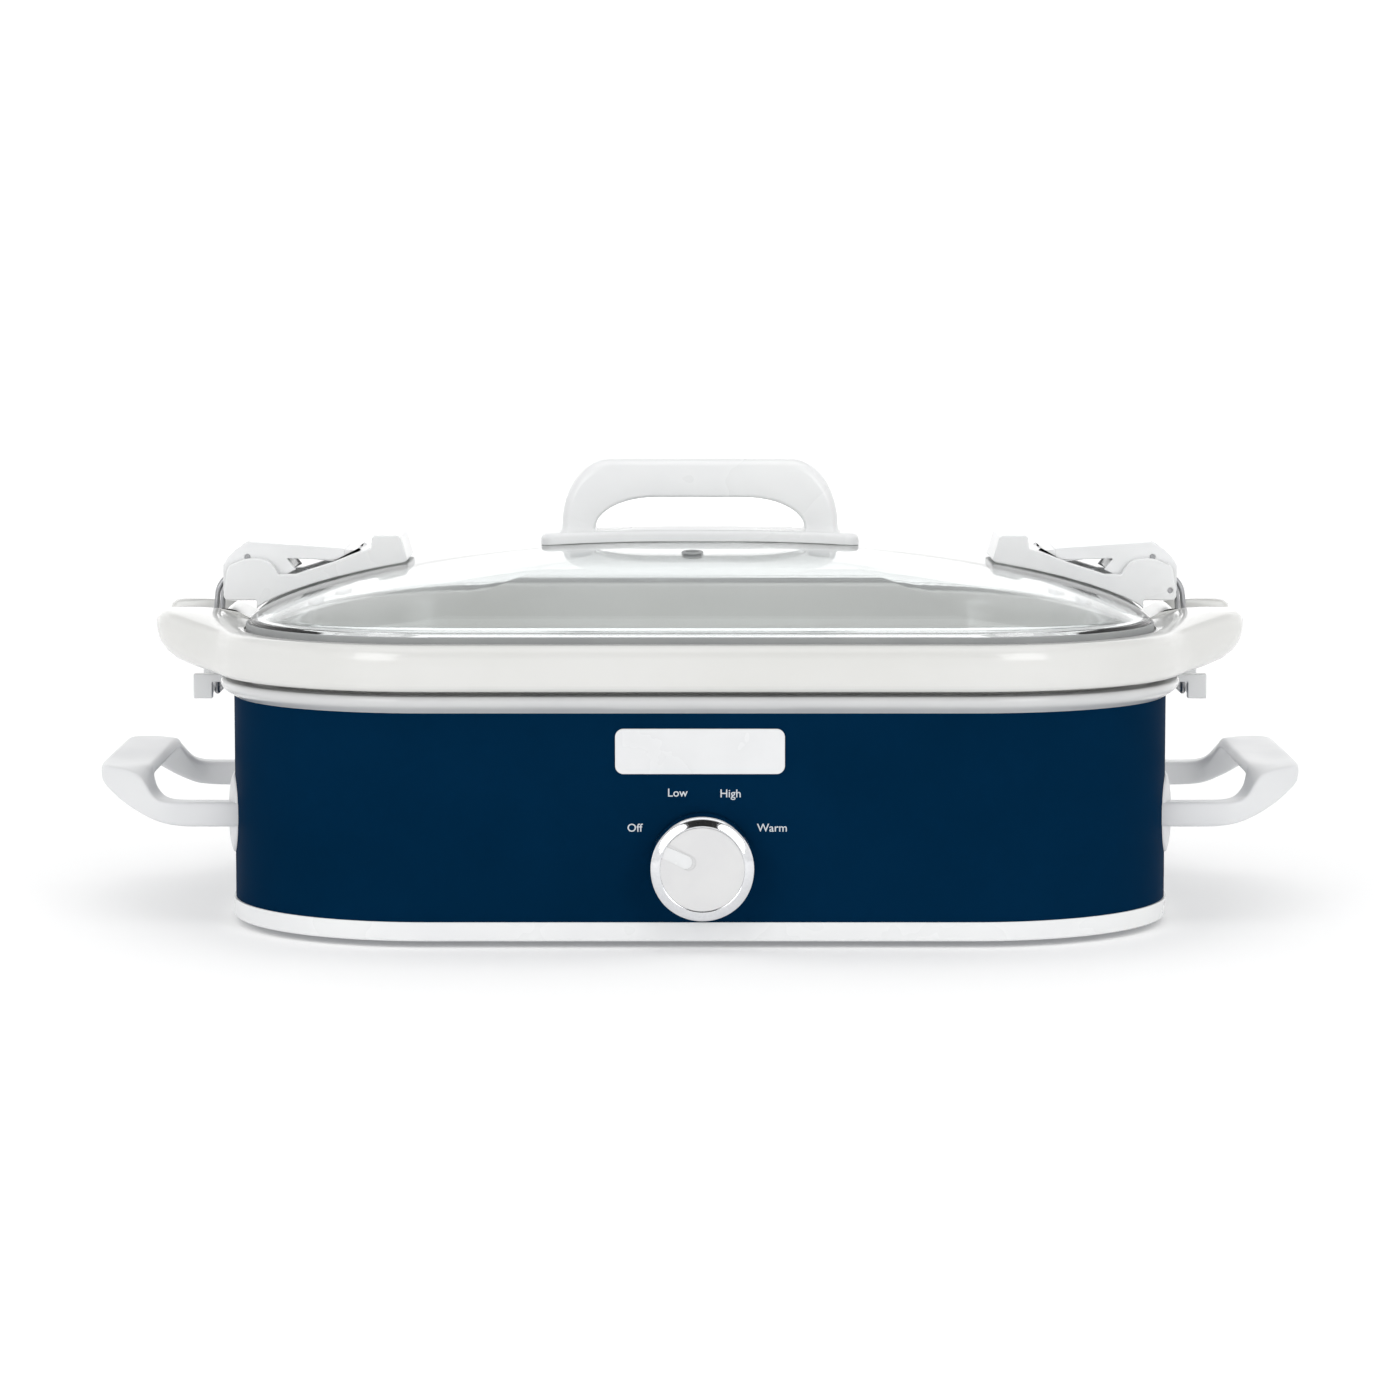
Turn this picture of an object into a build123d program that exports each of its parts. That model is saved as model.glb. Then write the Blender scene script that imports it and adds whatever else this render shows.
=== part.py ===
"""Slow cooker: a rectangular stoneware crock in a heated metal body, with a latching glass lid.

Millimetres. X runs between the two side handles, the front faces -Y and Z is up. The origin lies
on the table under the middle of the body. Insets are measured inwards from the painted shell.
"""
from build123d import *
import os

# ---------------------------------------------------------------- body
body_length = 378.0
body_depth = 273.0
corner_radius = 82.0
shell_wall = 0.8
band_height = 82.1  # painted part of the shell

trim_clearance = 2.5  # table to the lower edge of the base trim
trim_height = 7.6
trim_proud = 0.8
trim_wall = 2.4
trim_edge_fillet = 1.2
trim_upstand = 6.0
trim_flange_width = 13.0
trim_flange_thickness = 2.0

plate_thickness = 1.0
plate_recess = 1.0  # the bottom plate sits this far inside the trim's lower edge
plate_edge_gap = 0.2
vent_slot_length = 46.0
vent_slot_width = 3.0
vent_slot_pitch = 9.0
vent_slot_count = 6
vent_slot_x = 70.0

foot_radius = 9.0
foot_spigot_radius = 3.0
foot_spigot_height = 4.0
foot_x = 130.0
foot_y = 85.0

screw_radius = 1.6
screw_head_radius = 3.4
screw_head_height = 1.0
screw_reach = 6.0
screw_boss_radius = 4.0
screw_boss_height = 5.0
bottom_screw_inset = 9.0
bottom_screw_x = 95.0

seat_gap = 0.1  # between pieces of one body that sit on each other

# ---------------------------------------------------------------- rim ring and heating well
ring_height = 6.9
ring_overhang = 5.5
ring_plate_thickness = 1.2
ring_inner_inset = 9.3
ring_skirt_depth = 6.0
ring_skirt_wall = 1.5
ring_body_wall = 1.6

well_inset = 9.8
well_wall = 0.8
well_depth = 43.6
well_corner_fillet = 12.0
well_flange_inset = 2.7

heater_thickness = 1.8
heater_rise = 8.5  # above the well's floor
heater_height = 22.0
heater_split = 10.0
heater_tab = 6.0
insulation_thickness = 4.5
insulation_rise = 4.5
insulation_height = 30.0

fuse_radius = 2.4
fuse_length = 22.0
fuse_x = 40.0
fuse_clip_length = 8.0
fuse_clip_width = 12.0
fuse_clip_wall = 0.8

standoff_radius = 5.0
standoff_bore = 1.8

# ---------------------------------------------------------------- knob, switch and name plate
knob_x = 0.9
knob_height = 33.3
knob_radius = 20.5
knob_depth = 17.2
knob_gap = 0.8  # shell to the knob's back edge
knob_edge_fillet = 2.4
knob_face_radius = 16.3
knob_face_thickness = 1.0
knob_face_sink = 0.4
knob_face_gap = 0.2
knob_wall = 2.6
knob_front_wall = 3.0
hub_radius = 6.2
pointer_angle = 153.0
pointer_width = 6.0
pointer_inner = 3.0
pointer_depth = 0.5

switch_width = 26.0
switch_depth = 19.0
shaft_radius = 3.0
shaft_fit = 0.05
shaft_in_switch = 14.0
bushing_radius = 4.4
bushing_reach = 4.2
bushing_fit = 0.1
nut_across_flats = 12.0
nut_thickness = 2.4
nut_play = 0.2
terminal_length = 6.0
terminal_width = 4.0
terminal_thickness = 0.8
terminal_spacing = 8.0

name_plate_length = 66.2
name_plate_height = 17.8
name_plate_thickness = 1.0
name_plate_corner = 3.3
name_plate_drop = 14.8  # top of the shell to the plate's middle

# ---------------------------------------------------------------- cord inlet and inside wiring
gland_height = 28.0
gland_bore = 3.6
gland_radius = 6.0
gland_flange_radius = 8.5
gland_flange_thickness = 2.2
gland_inner_length = 5.0
gland_reach = 13.0
gland_tip_radius = 5.0
block_length = 32.0
block_depth = 14.0
block_height = 12.0
block_inset = 31.5  # shell to the middle of the terminal block
lead_radius = 1.1
lead_bend = 6.0
lead_floor = 3.0  # lead above the bottom plate

# ---------------------------------------------------------------- side handles
handle_reach = 55.5  # body side to the outermost point
grip_inner_reach = 36.0
grip_shoulder = 19.5  # each arm leans in by this much on its way to the grip
grip_top = 61.8
grip_lip = 3.6
arm_low = 39.3
arm_high = 49.6
arm_straight = 24.5
arm_inset = 67.0  # body side to the middle of an arm
arm_width = 13.0
handle_corner_outer = 9.0
handle_corner_inner = 7.0
pad_thickness = 2.6
pad_low = 26.5
pad_high = 60.0
pad_margin = 9.5  # pad beyond the middle of an arm
pad_corner = 12.0
handle_screw_radius = 2.0
handle_screw_reach = 16.0
handle_screw_head_radius = 4.0
handle_screw_head_height = 2.0

# ---------------------------------------------------------------- crock
crock_lift_gap = 1.8  # visible gap between the ring and the crock's rim
rim_overhang = 8.0
rim_height = 18.1
rim_top_fillet = 4.5
rim_bottom_fillet = 3.0
land_outer_inset = 6.0
land_inner_inset = 9.0
bowl_top_inset = 12.5
bowl_bottom_inset = 18.0
bowl_wall = 7.0
bowl_floor = 8.0
bowl_under_gap = 3.5  # well floor to the underside of the crock
bowl_outer_fillet = 10.0
bowl_inner_fillet = 14.0

ear_reach = 34.5  # body side to the ear's tip
ear_rise = 5.0
ear_tip_half_width = 34.0
ear_root_half_width = 96.0
ear_notch = 40.0
ear_fillet = 2.5

# ---------------------------------------------------------------- lid
lid_seat_depth = 1.5
lid_edge_inset = 5.0
lid_edge_gap = 0.8
gasket_height = 3.9
gasket_wall = 0.95
gasket_base = 1.45
gasket_base_width = 7.5
glass_thickness = 4.0
glass_flange = 6.0
dome_rise = 27.5
dome_fullness = 2.4
dome_shoulder = 0.76
dome_shares = (1.0, 0.994, 0.98, 0.955, 0.92, 0.875, 0.82, 0.75, 0.66, 0.56, 0.44, 0.31, 0.16)
lid_fit = 0.3  # above the glass to what is screwed on it

lid_handle_length = 114.4
lid_handle_rise = 34.0  # above the top of the glass
lid_handle_depth = 24.0
lid_handle_shoulder = 20.0
lid_handle_fillet = 5.0
window_length = 86.8
lid_handle_grip = 15.8  # thickness over the finger opening
window_corner_x = 26.0
window_corner_z = 10.0
foot_plate_length = 132.0
foot_plate_depth = 28.0
foot_plate_corner = 7.0
foot_plate_thickness = 3.7
lid_screw_x = 50.0
lid_screw_radius = 2.0
lid_screw_reach = 12.0
lid_screw_head_radius = 4.5
lid_screw_head_height = 2.6
washer_radius = 7.0
washer_thickness = 1.4

vent_x = -3.1
vent_y = -50.0
vent_tilt = 6.0  # the glass slopes by this much at the vent
vent_bore = 2.6
vent_sleeve = 3.6
vent_flange_radius = 4.6
vent_flange_thickness = 1.0

# ---------------------------------------------------------------- lid latches
# insets and overhangs are taken from the end of the shell, rises from the top of the glass edge
latch_width = 44.0
cheek_wall = 5.0
latch_play = 0.5
latch_floor = 2.5
tab_start_inset = 67.0
tab_end_inset = 49.5
tab_rise = 31.0
arm_rail = 6.6
cheek_start_inset = 15.0
cheek_end_overhang = 8.0
cheek_low_rise = 3.8
cheek_high_rise = 21.0

hinge_overhang = 5.0
hinge_rise = 7.8
hinge_pin_radius = 1.1
hinge_pin_fit = 0.05
hinge_pin_sink = 2.0

lever_start_inset = 42.2
lever_under_rise = 21.8
lever_top_rise = 27.6
lever_wall = 2.2
lever_side_wall = 2.2
lever_hub_radius = 3.2
lever_plate_overlap = 1.2  # top plate beyond the bail's pivot

bail_pivot_inset = 1.9
bail_pivot_rise = 21.3
wire_radius = 1.1
wire_fit = 0.06
wire_bend = 1.6
bail_shoulder_out = 10.7
bail_shoulder_drop = 8.7
bail_knee_out = 14.7
bail_knee_drop = 17.8
bail_foot_overhang = 11.6
bail_foot_drop = 4.2  # below the top of the shell
bail_leg_gap = 0.6

latch_screw_insets = (39.0, 27.0)
latch_screw_radius = 1.5
latch_screw_head_radius = 3.2
latch_screw_head_height = 1.3
latch_nut_radius = 3.6
latch_nut_thickness = 2.2

catch_width = 45.0
catch_thickness = 3.4
catch_gap = 0.2
catch_lip_thickness = 6.0
catch_lip_drop = 6.8
catch_clear = 1.7  # wire to the lip
catch_lip_height = 3.4
catch_cheek_reach = 1.8
catch_arm = 5.0
catch_root = 13.6
rivet_radius = 1.5
rivet_head_radius = 2.6
rivet_head_height = 1.4
rivet_y = 12.0

# ---------------------------------------------------------------- worked out from the sizes above
half_length = body_length / 2
half_depth = body_depth / 2
arm_spacing = body_depth - 2 * arm_inset
grip_width = arm_spacing - 2 * grip_shoulder
pad_width = arm_spacing + 2 * pad_margin
block_y = half_depth - block_inset
trim_low = trim_clearance
shell_low = trim_low + trim_height
shell_high = shell_low + band_height
ring_high = shell_high + ring_height
plate_low = trim_low + plate_recess
plate_high = plate_low + plate_thickness
flange_low = plate_high + seat_gap
flange_high = flange_low + trim_flange_thickness
well_floor_height = ring_high - well_depth
well_floor_low = well_floor_height - well_wall
heater_low = well_floor_height + heater_rise
insulation_low = well_floor_height + insulation_rise
name_plate_z = shell_high - name_plate_drop
well_flange_high = ring_high - ring_plate_thickness - seat_gap
rim_low = ring_high + crock_lift_gap
rim_high = rim_low + rim_height
bowl_low = well_floor_height + bowl_under_gap
cavity_low = bowl_low + bowl_floor
lid_seat = rim_high - lid_seat_depth
glass_low = lid_seat + gasket_base + seat_gap / 2
glass_edge_high = glass_low + glass_thickness
lid_length = body_length - 2 * lid_edge_inset
lid_depth = body_depth - 2 * lid_edge_inset
lid_corner = corner_radius - lid_edge_inset
glass_inset = gasket_wall + seat_gap / 2
lid_handle_top = glass_edge_high + dome_rise + lid_handle_rise
window_top = lid_handle_top - lid_handle_grip
tab_start = half_length - tab_start_inset
tab_end = half_length - tab_end_inset
tab_top = glass_edge_high + tab_rise
cheek_start = half_length - cheek_start_inset
cheek_end = half_length + cheek_end_overhang
cheek_low = glass_edge_high + cheek_low_rise
cheek_high = glass_edge_high + cheek_high_rise
hinge_x = half_length + hinge_overhang
hinge_z = glass_edge_high + hinge_rise
lever_start = half_length - lever_start_inset
lever_under = glass_edge_high + lever_under_rise
lever_top = glass_edge_high + lever_top_rise
bail_pivot_x = half_length - bail_pivot_inset
bail_pivot_z = glass_edge_high + bail_pivot_rise
bail_foot_x = half_length + bail_foot_overhang
bail_foot_z = shell_high - bail_foot_drop
latch_screw_x = [half_length - inset for inset in latch_screw_insets]
lever_width = latch_width - 2 * cheek_wall - 2 * latch_play
bail_y = lever_width / 2 - lever_side_wall - bail_leg_gap - wire_radius
catch_low = shell_high + ring_height / 2 - catch_thickness + 0.7
catch_lip_x = bail_foot_x + wire_radius + catch_clear


# ---------------------------------------------------------------- shared shapes
def outline(inset):
    """The body's plan, set in from the shell."""
    return RectangleRounded(body_length - 2 * inset, body_depth - 2 * inset, corner_radius - inset)


def slab(inset, low, high):
    return Pos(0, 0, low) * extrude(outline(inset), high - low)


def ring_band(outer_inset, inner_inset, low, high):
    return slab(outer_inset, low, high) - slab(inner_inset, low, high)


def block(x_range, y_range, z_range):
    """A box between two corners."""
    sizes = [r[1] - r[0] for r in (x_range, y_range, z_range)]
    middle = [(r[0] + r[1]) / 2 for r in (x_range, y_range, z_range)]
    return Pos(*middle) * Box(*sizes)


def upright_rod(x, y, radius, low, high):
    return Pos(x, y, (low + high) / 2) * Cylinder(radius, high - low)


def rod_along_y(x, z, radius, start, end):
    return Pos(x, (start + end) / 2, z) * Rot(90, 0, 0) * Cylinder(radius, end - start)


def rod_along_x(y, z, radius, start, end):
    return Pos((start + end) / 2, y, z) * Rot(0, 90, 0) * Cylinder(radius, end - start)


def front_prism(face, half_width):
    """A face drawn as seen from the front, X to the right and Z up, made thick along Y."""
    return extrude(Plane.XZ * face, half_width, both=True)


def polygon(*points):
    return make_face(Polyline(*points, close=True))


def four_corners(x, y):
    return [(sx * x, sy * y) for sx in (-1, 1) for sy in (-1, 1)]


def both_ends(shape):
    """The right-hand piece and the same piece turned to the left-hand end."""
    return {"right": shape, "left": Rot(0, 0, 180) * shape}


# ---------------------------------------------------------------- casing
def make_outer_shell():
    shell = ring_band(0, shell_wall, shell_low, shell_high)
    front = -half_depth
    shell -= rod_along_y(knob_x, knob_height, bushing_radius + bushing_fit, front - 1, front + 3)
    shell -= rod_along_y(0, gland_height, gland_radius + bushing_fit, half_depth - 3, half_depth + 1)
    for side in (-1, 1):
        for y in (-arm_spacing / 2, arm_spacing / 2):
            ends = sorted((side * (half_length - 8), side * (half_length + 2)))
            arm_middle = (arm_low + arm_high) / 2
            shell -= rod_along_x(y, arm_middle, handle_screw_radius + seat_gap, *ends)
    return shell


def bottom_screw_places():
    y = half_depth - bottom_screw_inset
    return four_corners(bottom_screw_x, y) + [(sx * (half_length - bottom_screw_inset), 0) for sx in (-1, 1)]


def make_base_trim():
    trim = slab(-trim_proud, trim_low, shell_low)
    trim = fillet(trim.edges().group_by(Axis.Z)[0], trim_edge_fillet)
    trim -= slab(trim_wall - trim_proud, trim_low - 1, shell_low + 1)
    locating_inset = shell_wall + seat_gap
    upstand = ring_band(locating_inset, trim_wall, flange_low, shell_low + trim_upstand)
    flange = ring_band(locating_inset, trim_flange_width, flange_low, flange_high)
    trim += upstand + flange
    for x, y in bottom_screw_places():
        trim += upright_rod(x, y, screw_boss_radius, flange_low, flange_high + screw_boss_height)
        trim -= upright_rod(x, y, screw_radius, flange_low - 1, plate_high + screw_reach)
    return trim


def make_bottom_plate():
    inset = trim_wall - trim_proud + plate_edge_gap
    plate = slab(inset, plate_low, plate_high)
    for x, y in bottom_screw_places():
        plate -= upright_rod(x, y, screw_radius + seat_gap, plate_low - 1, plate_high + 1)
    for x, y in four_corners(foot_x, foot_y):
        plate -= upright_rod(x, y, foot_spigot_radius, plate_low - 1, plate_high + 1)
    plate -= upright_rod(0, 0, screw_radius + seat_gap, plate_low - 1, plate_high + 1)
    for side in (-1, 1):
        for n in range(vent_slot_count):
            y = (n - (vent_slot_count - 1) / 2) * vent_slot_pitch
            slot = SlotOverall(vent_slot_length, vent_slot_width)
            plate -= Pos(side * vent_slot_x, y, plate_low - 1) * extrude(slot, plate_thickness + 2)
    return plate


def make_rubber_feet():
    feet = []
    for x, y in four_corners(foot_x, foot_y):
        pad = upright_rod(x, y, foot_radius, 0, plate_low)
        pad = fillet(pad.edges().group_by(Axis.Z)[0], 0.8)
        feet.append(pad + upright_rod(x, y, foot_spigot_radius, plate_low, plate_low + foot_spigot_height))
    return feet


def make_screw(x, y, under_head, reach):
    head = upright_rod(x, y, screw_head_radius, under_head - screw_head_height, under_head)
    return head + upright_rod(x, y, screw_radius, under_head, under_head + reach)


def make_bottom_screws():
    return [make_screw(x, y, plate_low, plate_thickness + screw_reach) for x, y in bottom_screw_places()]


def make_centre_standoff():
    tube = upright_rod(0, 0, standoff_radius, plate_high, well_floor_low)
    return tube - upright_rod(0, 0, standoff_bore, plate_high, well_floor_low)


def make_rim_ring():
    ring = slab(-ring_overhang, shell_high, ring_high)
    edges = ring.edges().group_by(Axis.Z)
    ring = fillet(edges[0] + edges[-1], ring_height / 2 - 0.05)
    inner = shell_wall + seat_gap + ring_body_wall
    ring -= slab(inner, shell_high - 1, ring_high - ring_plate_thickness)
    ring -= slab(ring_inner_inset, shell_high, ring_high + 1)
    skirt_outer = shell_wall + seat_gap
    ring += ring_band(skirt_outer, skirt_outer + ring_skirt_wall, shell_high - ring_skirt_depth, shell_high + 0.5)
    half = catch_width / 2 + catch_gap
    for side in (-1, 1):
        ends = sorted((side * (half_length - 6), side * (half_length + ring_overhang + 1)))
        ring -= block(ends, (-half, half), (catch_low - catch_gap, catch_low + catch_thickness + catch_gap))
        for y in (-rivet_y, rivet_y):
            x = side * rivet_x()
            ring -= upright_rod(x, y, rivet_radius + seat_gap, ring_high - 3, ring_high + 1)
    return ring


# ---------------------------------------------------------------- heating
def make_heating_well():
    cup = slab(well_inset, well_floor_low, well_flange_high)
    cup = fillet(cup.edges().group_by(Axis.Z)[0], well_corner_fillet)
    cup += ring_band(well_flange_inset, well_inset + well_wall / 2, well_flange_high - well_wall, well_flange_high)
    hollow = slab(well_inset + well_wall, well_floor_height, well_flange_high + 1)
    hollow = fillet(hollow.edges().group_by(Axis.Z)[0], well_corner_fillet - well_wall)
    well = cup - hollow
    for side in (-1, 1):
        for y in (-rivet_y, rivet_y):
            well -= upright_rod(side * rivet_x(), y, rivet_radius + seat_gap, well_flange_high - 2, well_flange_high + 1)
    return well


def heater_outer_inset():
    return well_inset - seat_gap - heater_thickness


def make_heater_band():
    heater = ring_band(heater_outer_inset(), well_inset - seat_gap, heater_low, heater_low + heater_height)
    rear = (half_depth - well_inset - 4, half_depth)
    heater -= block((-heater_split / 2, heater_split / 2), rear, (heater_low - 1, heater_low + heater_height + 1))
    for side in (-1, 1):
        x = side * (heater_split / 2 + heater_tab / 2)
        y = half_depth - well_inset + seat_gap + heater_thickness / 2
        tab = block((x - heater_tab / 2, x + heater_tab / 2), (y - 0.4, y + 0.4), (heater_low - 8, heater_low + 1))
        heater += tab
    return heater


def make_insulation():
    outer = heater_outer_inset() - seat_gap - insulation_thickness
    return ring_band(outer, heater_outer_inset() - seat_gap, insulation_low, insulation_low + insulation_height)


def make_thermal_fuse():
    z = well_floor_low - seat_gap - fuse_radius
    return rod_along_x(0, z, fuse_radius, fuse_x - fuse_length / 2, fuse_x + fuse_length / 2)


def make_fuse_clip():
    """A strap under the thermal fuse, welded to the well's floor on both sides of it."""
    reach = fuse_clip_length / 2
    half = fuse_clip_width / 2
    low = well_floor_low - 2 * fuse_radius - 2 * seat_gap - fuse_clip_wall
    strap = block((fuse_x - reach, fuse_x + reach), (-half, half), (low, well_floor_low))
    z = well_floor_low - seat_gap - fuse_radius
    room = fuse_radius + seat_gap
    strap -= rod_along_x(0, z, room, fuse_x - reach - 1, fuse_x + reach + 1)
    return strap - block((fuse_x - reach - 1, fuse_x + reach + 1), (-room, room), (z, well_floor_low + 1))


# ---------------------------------------------------------------- switch and knob
def shell_front():
    return -half_depth


def switch_front():
    return shell_front() + shell_wall + seat_gap


def make_rotary_switch():
    half = switch_width / 2
    case = block(
        (knob_x - half, knob_x + half),
        (switch_front(), switch_front() + switch_depth),
        (knob_height - half, knob_height + half),
    )
    case = fillet(case.edges().filter_by(Axis.Y), 3)
    back = switch_front() + switch_depth
    case += rod_along_y(knob_x, knob_height, bushing_radius, shell_front() - bushing_reach, switch_front())
    case -= rod_along_y(
        knob_x, knob_height, shaft_radius + shaft_fit, shell_front() - bushing_reach - 1, back - 4
    )
    for n in (-1, 0, 1):
        x = knob_x + n * terminal_spacing
        case += block(
            (x - terminal_width / 2, x + terminal_width / 2),
            (back, back + terminal_length),
            (knob_height - terminal_thickness / 2, knob_height + terminal_thickness / 2),
        )
    return case


def make_switch_nut():
    start = shell_front() - seat_gap / 2
    nut_face = RegularPolygon(nut_across_flats / 2, 6, major_radius=False)
    nut = Pos(knob_x, start, knob_height) * Rot(90, 0, 0) * extrude(nut_face, nut_thickness)
    return nut - rod_along_y(knob_x, knob_height, bushing_radius + seat_gap / 2, start - nut_thickness - 1, start + 1)


def knob_front():
    return shell_front() - knob_gap - knob_depth


def make_knob_body():
    back = shell_front() - knob_gap
    front = knob_front()
    knob = rod_along_y(knob_x, knob_height, knob_radius, front, back)
    knob = fillet(knob.edges().group_by(Axis.Y)[0], knob_edge_fillet)
    recess = knob_face_thickness + knob_face_sink
    knob -= rod_along_y(knob_x, knob_height, knob_face_radius + knob_face_gap, front - 1, front + recess)
    hollow_front = front + recess + knob_front_wall
    hollow = rod_along_y(knob_x, knob_height, knob_radius - knob_wall, hollow_front, back + 1)
    hub_back = shell_front() - bushing_reach - nut_play
    hollow -= rod_along_y(knob_x, knob_height, hub_radius, hollow_front - 1, hub_back)
    knob -= hollow
    return knob - rod_along_y(knob_x, knob_height, shaft_radius + 0.01, shaft_tip(), back + 1)


def shaft_tip():
    """The front end of the shaft, inside the knob's hub."""
    return knob_front() + knob_face_thickness + knob_face_sink + 1.5


def make_switch_shaft():
    return rod_along_y(knob_x, knob_height, shaft_radius, shaft_tip(), switch_front() + shaft_in_switch)


def make_knob_face():
    front = knob_front() + knob_face_sink
    disc = rod_along_y(0, 0, knob_face_radius, front, front + knob_face_thickness)
    slot_middle = (pointer_inner + knob_face_radius + pointer_width) / 2
    slot_length = knob_face_radius + pointer_width - pointer_inner
    slot = extrude(SlotOverall(slot_length, pointer_width), pointer_depth)
    slot = Pos(slot_middle, front + pointer_depth, 0) * Rot(90, 0, 0) * slot
    return Pos(knob_x, 0, knob_height) * Rot(0, -pointer_angle, 0) * (disc - slot)


def make_name_plate():
    plate = extrude(
        RectangleRounded(name_plate_length, name_plate_height, name_plate_corner), name_plate_thickness
    )
    plate = fillet(plate.edges().group_by(Axis.Z)[-1], 0.35)
    return Pos(0, shell_front(), name_plate_z) * Rot(90, 0, 0) * plate


# ---------------------------------------------------------------- inlet and wiring
def make_cord_gland():
    """A flanged bush that holds the cord where it enters, with a tapered nose behind."""
    wall = half_depth
    bush = rod_along_y(0, gland_height, gland_radius, wall - gland_inner_length, wall)
    flange = rod_along_y(0, gland_height, gland_flange_radius, wall, wall + gland_flange_thickness)
    flange = fillet(flange.edges().group_by(Axis.Y)[-1], 0.8)
    root = Pos(0, wall + gland_flange_thickness, gland_height) * Rot(-90, 0, 0) * Circle(gland_radius)
    tip = Pos(0, wall + gland_reach, gland_height) * Rot(-90, 0, 0) * Circle(gland_tip_radius)
    nose = loft([root, tip])
    bore_ends = (wall - gland_inner_length - 1, wall + gland_reach + 1)
    return bush + flange + nose - rod_along_y(0, gland_height, gland_bore, *bore_ends)


def make_terminal_block():
    body = block(
        (-block_length / 2, block_length / 2),
        (block_y - block_depth / 2, block_y + block_depth / 2),
        (plate_high, plate_high + block_height),
    )
    for n in (-1, 0, 1):
        x = n * block_length / 3.2
        body -= upright_rod(x, block_y, 2.4, plate_high + block_height / 2, plate_high + block_height + 1)
    return body


def make_lead(points):
    """An insulated lead along straight runs joined by tangent arcs."""
    path = FilletPolyline(*points, radius=lead_bend)
    section = Plane(origin=points[0], z_dir=Vector(*points[1]) - Vector(*points[0])) * Circle(lead_radius)
    return sweep(section, path)


def make_internal_leads():
    low = plate_high + lead_floor
    switch_back = switch_front() + switch_depth + terminal_length
    block_front = block_y - block_depth / 2
    heater_y = half_depth - well_inset + seat_gap + heater_thickness / 2
    leads = []
    for side in (-1, 1):
        x = knob_x + side * terminal_spacing
        leads.append(
            make_lead(
                [
                    (x, switch_back, knob_height),
                    (x, switch_back + 16, knob_height),
                    (x, switch_back + 16, low),
                    (x, block_front, low),
                ]
            )
        )
        tab_x = side * (heater_split / 2 + heater_tab / 2)
        tab_low = heater_low - 8
        leads.append(
            make_lead(
                [
                    (tab_x, heater_y, tab_low),
                    (tab_x, heater_y, tab_low - 14),
                    (tab_x, block_y, tab_low - 14),
                    (tab_x, block_y, plate_high + block_height),
                ]
            )
        )
    return leads


# ---------------------------------------------------------------- side handles
def make_handle_pad():
    """The plate between the shell and a side handle, curved round the body's corners."""
    outer = slab(-pad_thickness, pad_low, pad_high)
    middle = (pad_low + pad_high) / 2
    window = RectangleRounded(pad_width, pad_high - pad_low, pad_corner)
    cutter = Pos(half_length - 40, 0, middle) * extrude(Plane.YZ * window, 60)
    pad = (outer & cutter) - slab(0, pad_low - 1, pad_high + 1)
    for y in (-arm_spacing / 2, arm_spacing / 2):
        pad -= rod_along_x(
            y, (arm_low + arm_high) / 2, handle_screw_radius + seat_gap, half_length - 10, half_length + 10
        )
    return pad


def handle_profile():
    """The handle seen from the front: a straight arm that curves up into the grip."""
    x0 = half_length - 12
    bend = half_length + arm_straight
    tip = half_length + handle_reach
    inner = half_length + grip_inner_reach
    rise = grip_top - arm_low
    lower = Line((x0, arm_low), (bend, arm_low))
    sweep_up = Spline(
        (bend, arm_low),
        (bend + 12.3, arm_low + 0.10 * rise),
        (bend + 23.7, arm_low + 0.40 * rise),
        (tip, grip_top - 4.0),
        tangents=((1, 0), (0.25, 1)),
    )
    nose = Line((tip, grip_top - 4.0), (tip - 1.6, grip_top))
    top = Line((tip - 1.6, grip_top), (inner, grip_top))
    lip = Line((inner, grip_top), (inner - 1.8, grip_top - grip_lip))
    inside = Spline(
        (inner - 1.8, grip_top - grip_lip), (bend + 4.5, arm_high + 3.4), (bend - 2.0, arm_high),
        tangents=((-0.35, -1), (-1, 0)),
    )
    upper = Line((bend - 2.0, arm_high), (x0, arm_high))
    back = Line((x0, arm_high), (x0, arm_low))
    return make_face(lower + sweep_up + nose + top + lip + inside + upper + back)


def handle_plan():
    """The handle seen from above: two arms that close towards a straight grip."""
    x0 = half_length - 12
    tip = half_length + handle_reach + 1
    inner = half_length + grip_inner_reach - 1.8
    outer_y = arm_spacing / 2 + arm_width / 2
    inner_y = arm_spacing / 2 - arm_width / 2
    grip_y = grip_width / 2
    bend = half_length + arm_straight - 1.5
    outer = polygon(
        (x0, -outer_y), (bend, -outer_y), (tip, -grip_y), (tip, grip_y), (bend, outer_y), (x0, outer_y)
    )
    outer = fillet(outer.vertices().filter_by(lambda v: v.X > x0 + 1), handle_corner_outer)
    open_y = grip_y - 7
    loop = polygon(
        (x0 - 1, -inner_y), (bend - 4, -inner_y), (inner, -open_y), (inner, open_y), (bend - 4, inner_y), (x0 - 1, inner_y)
    )
    loop = fillet(loop.vertices().filter_by(lambda v: v.X > x0 + 1), handle_corner_inner)
    return outer - loop


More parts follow.
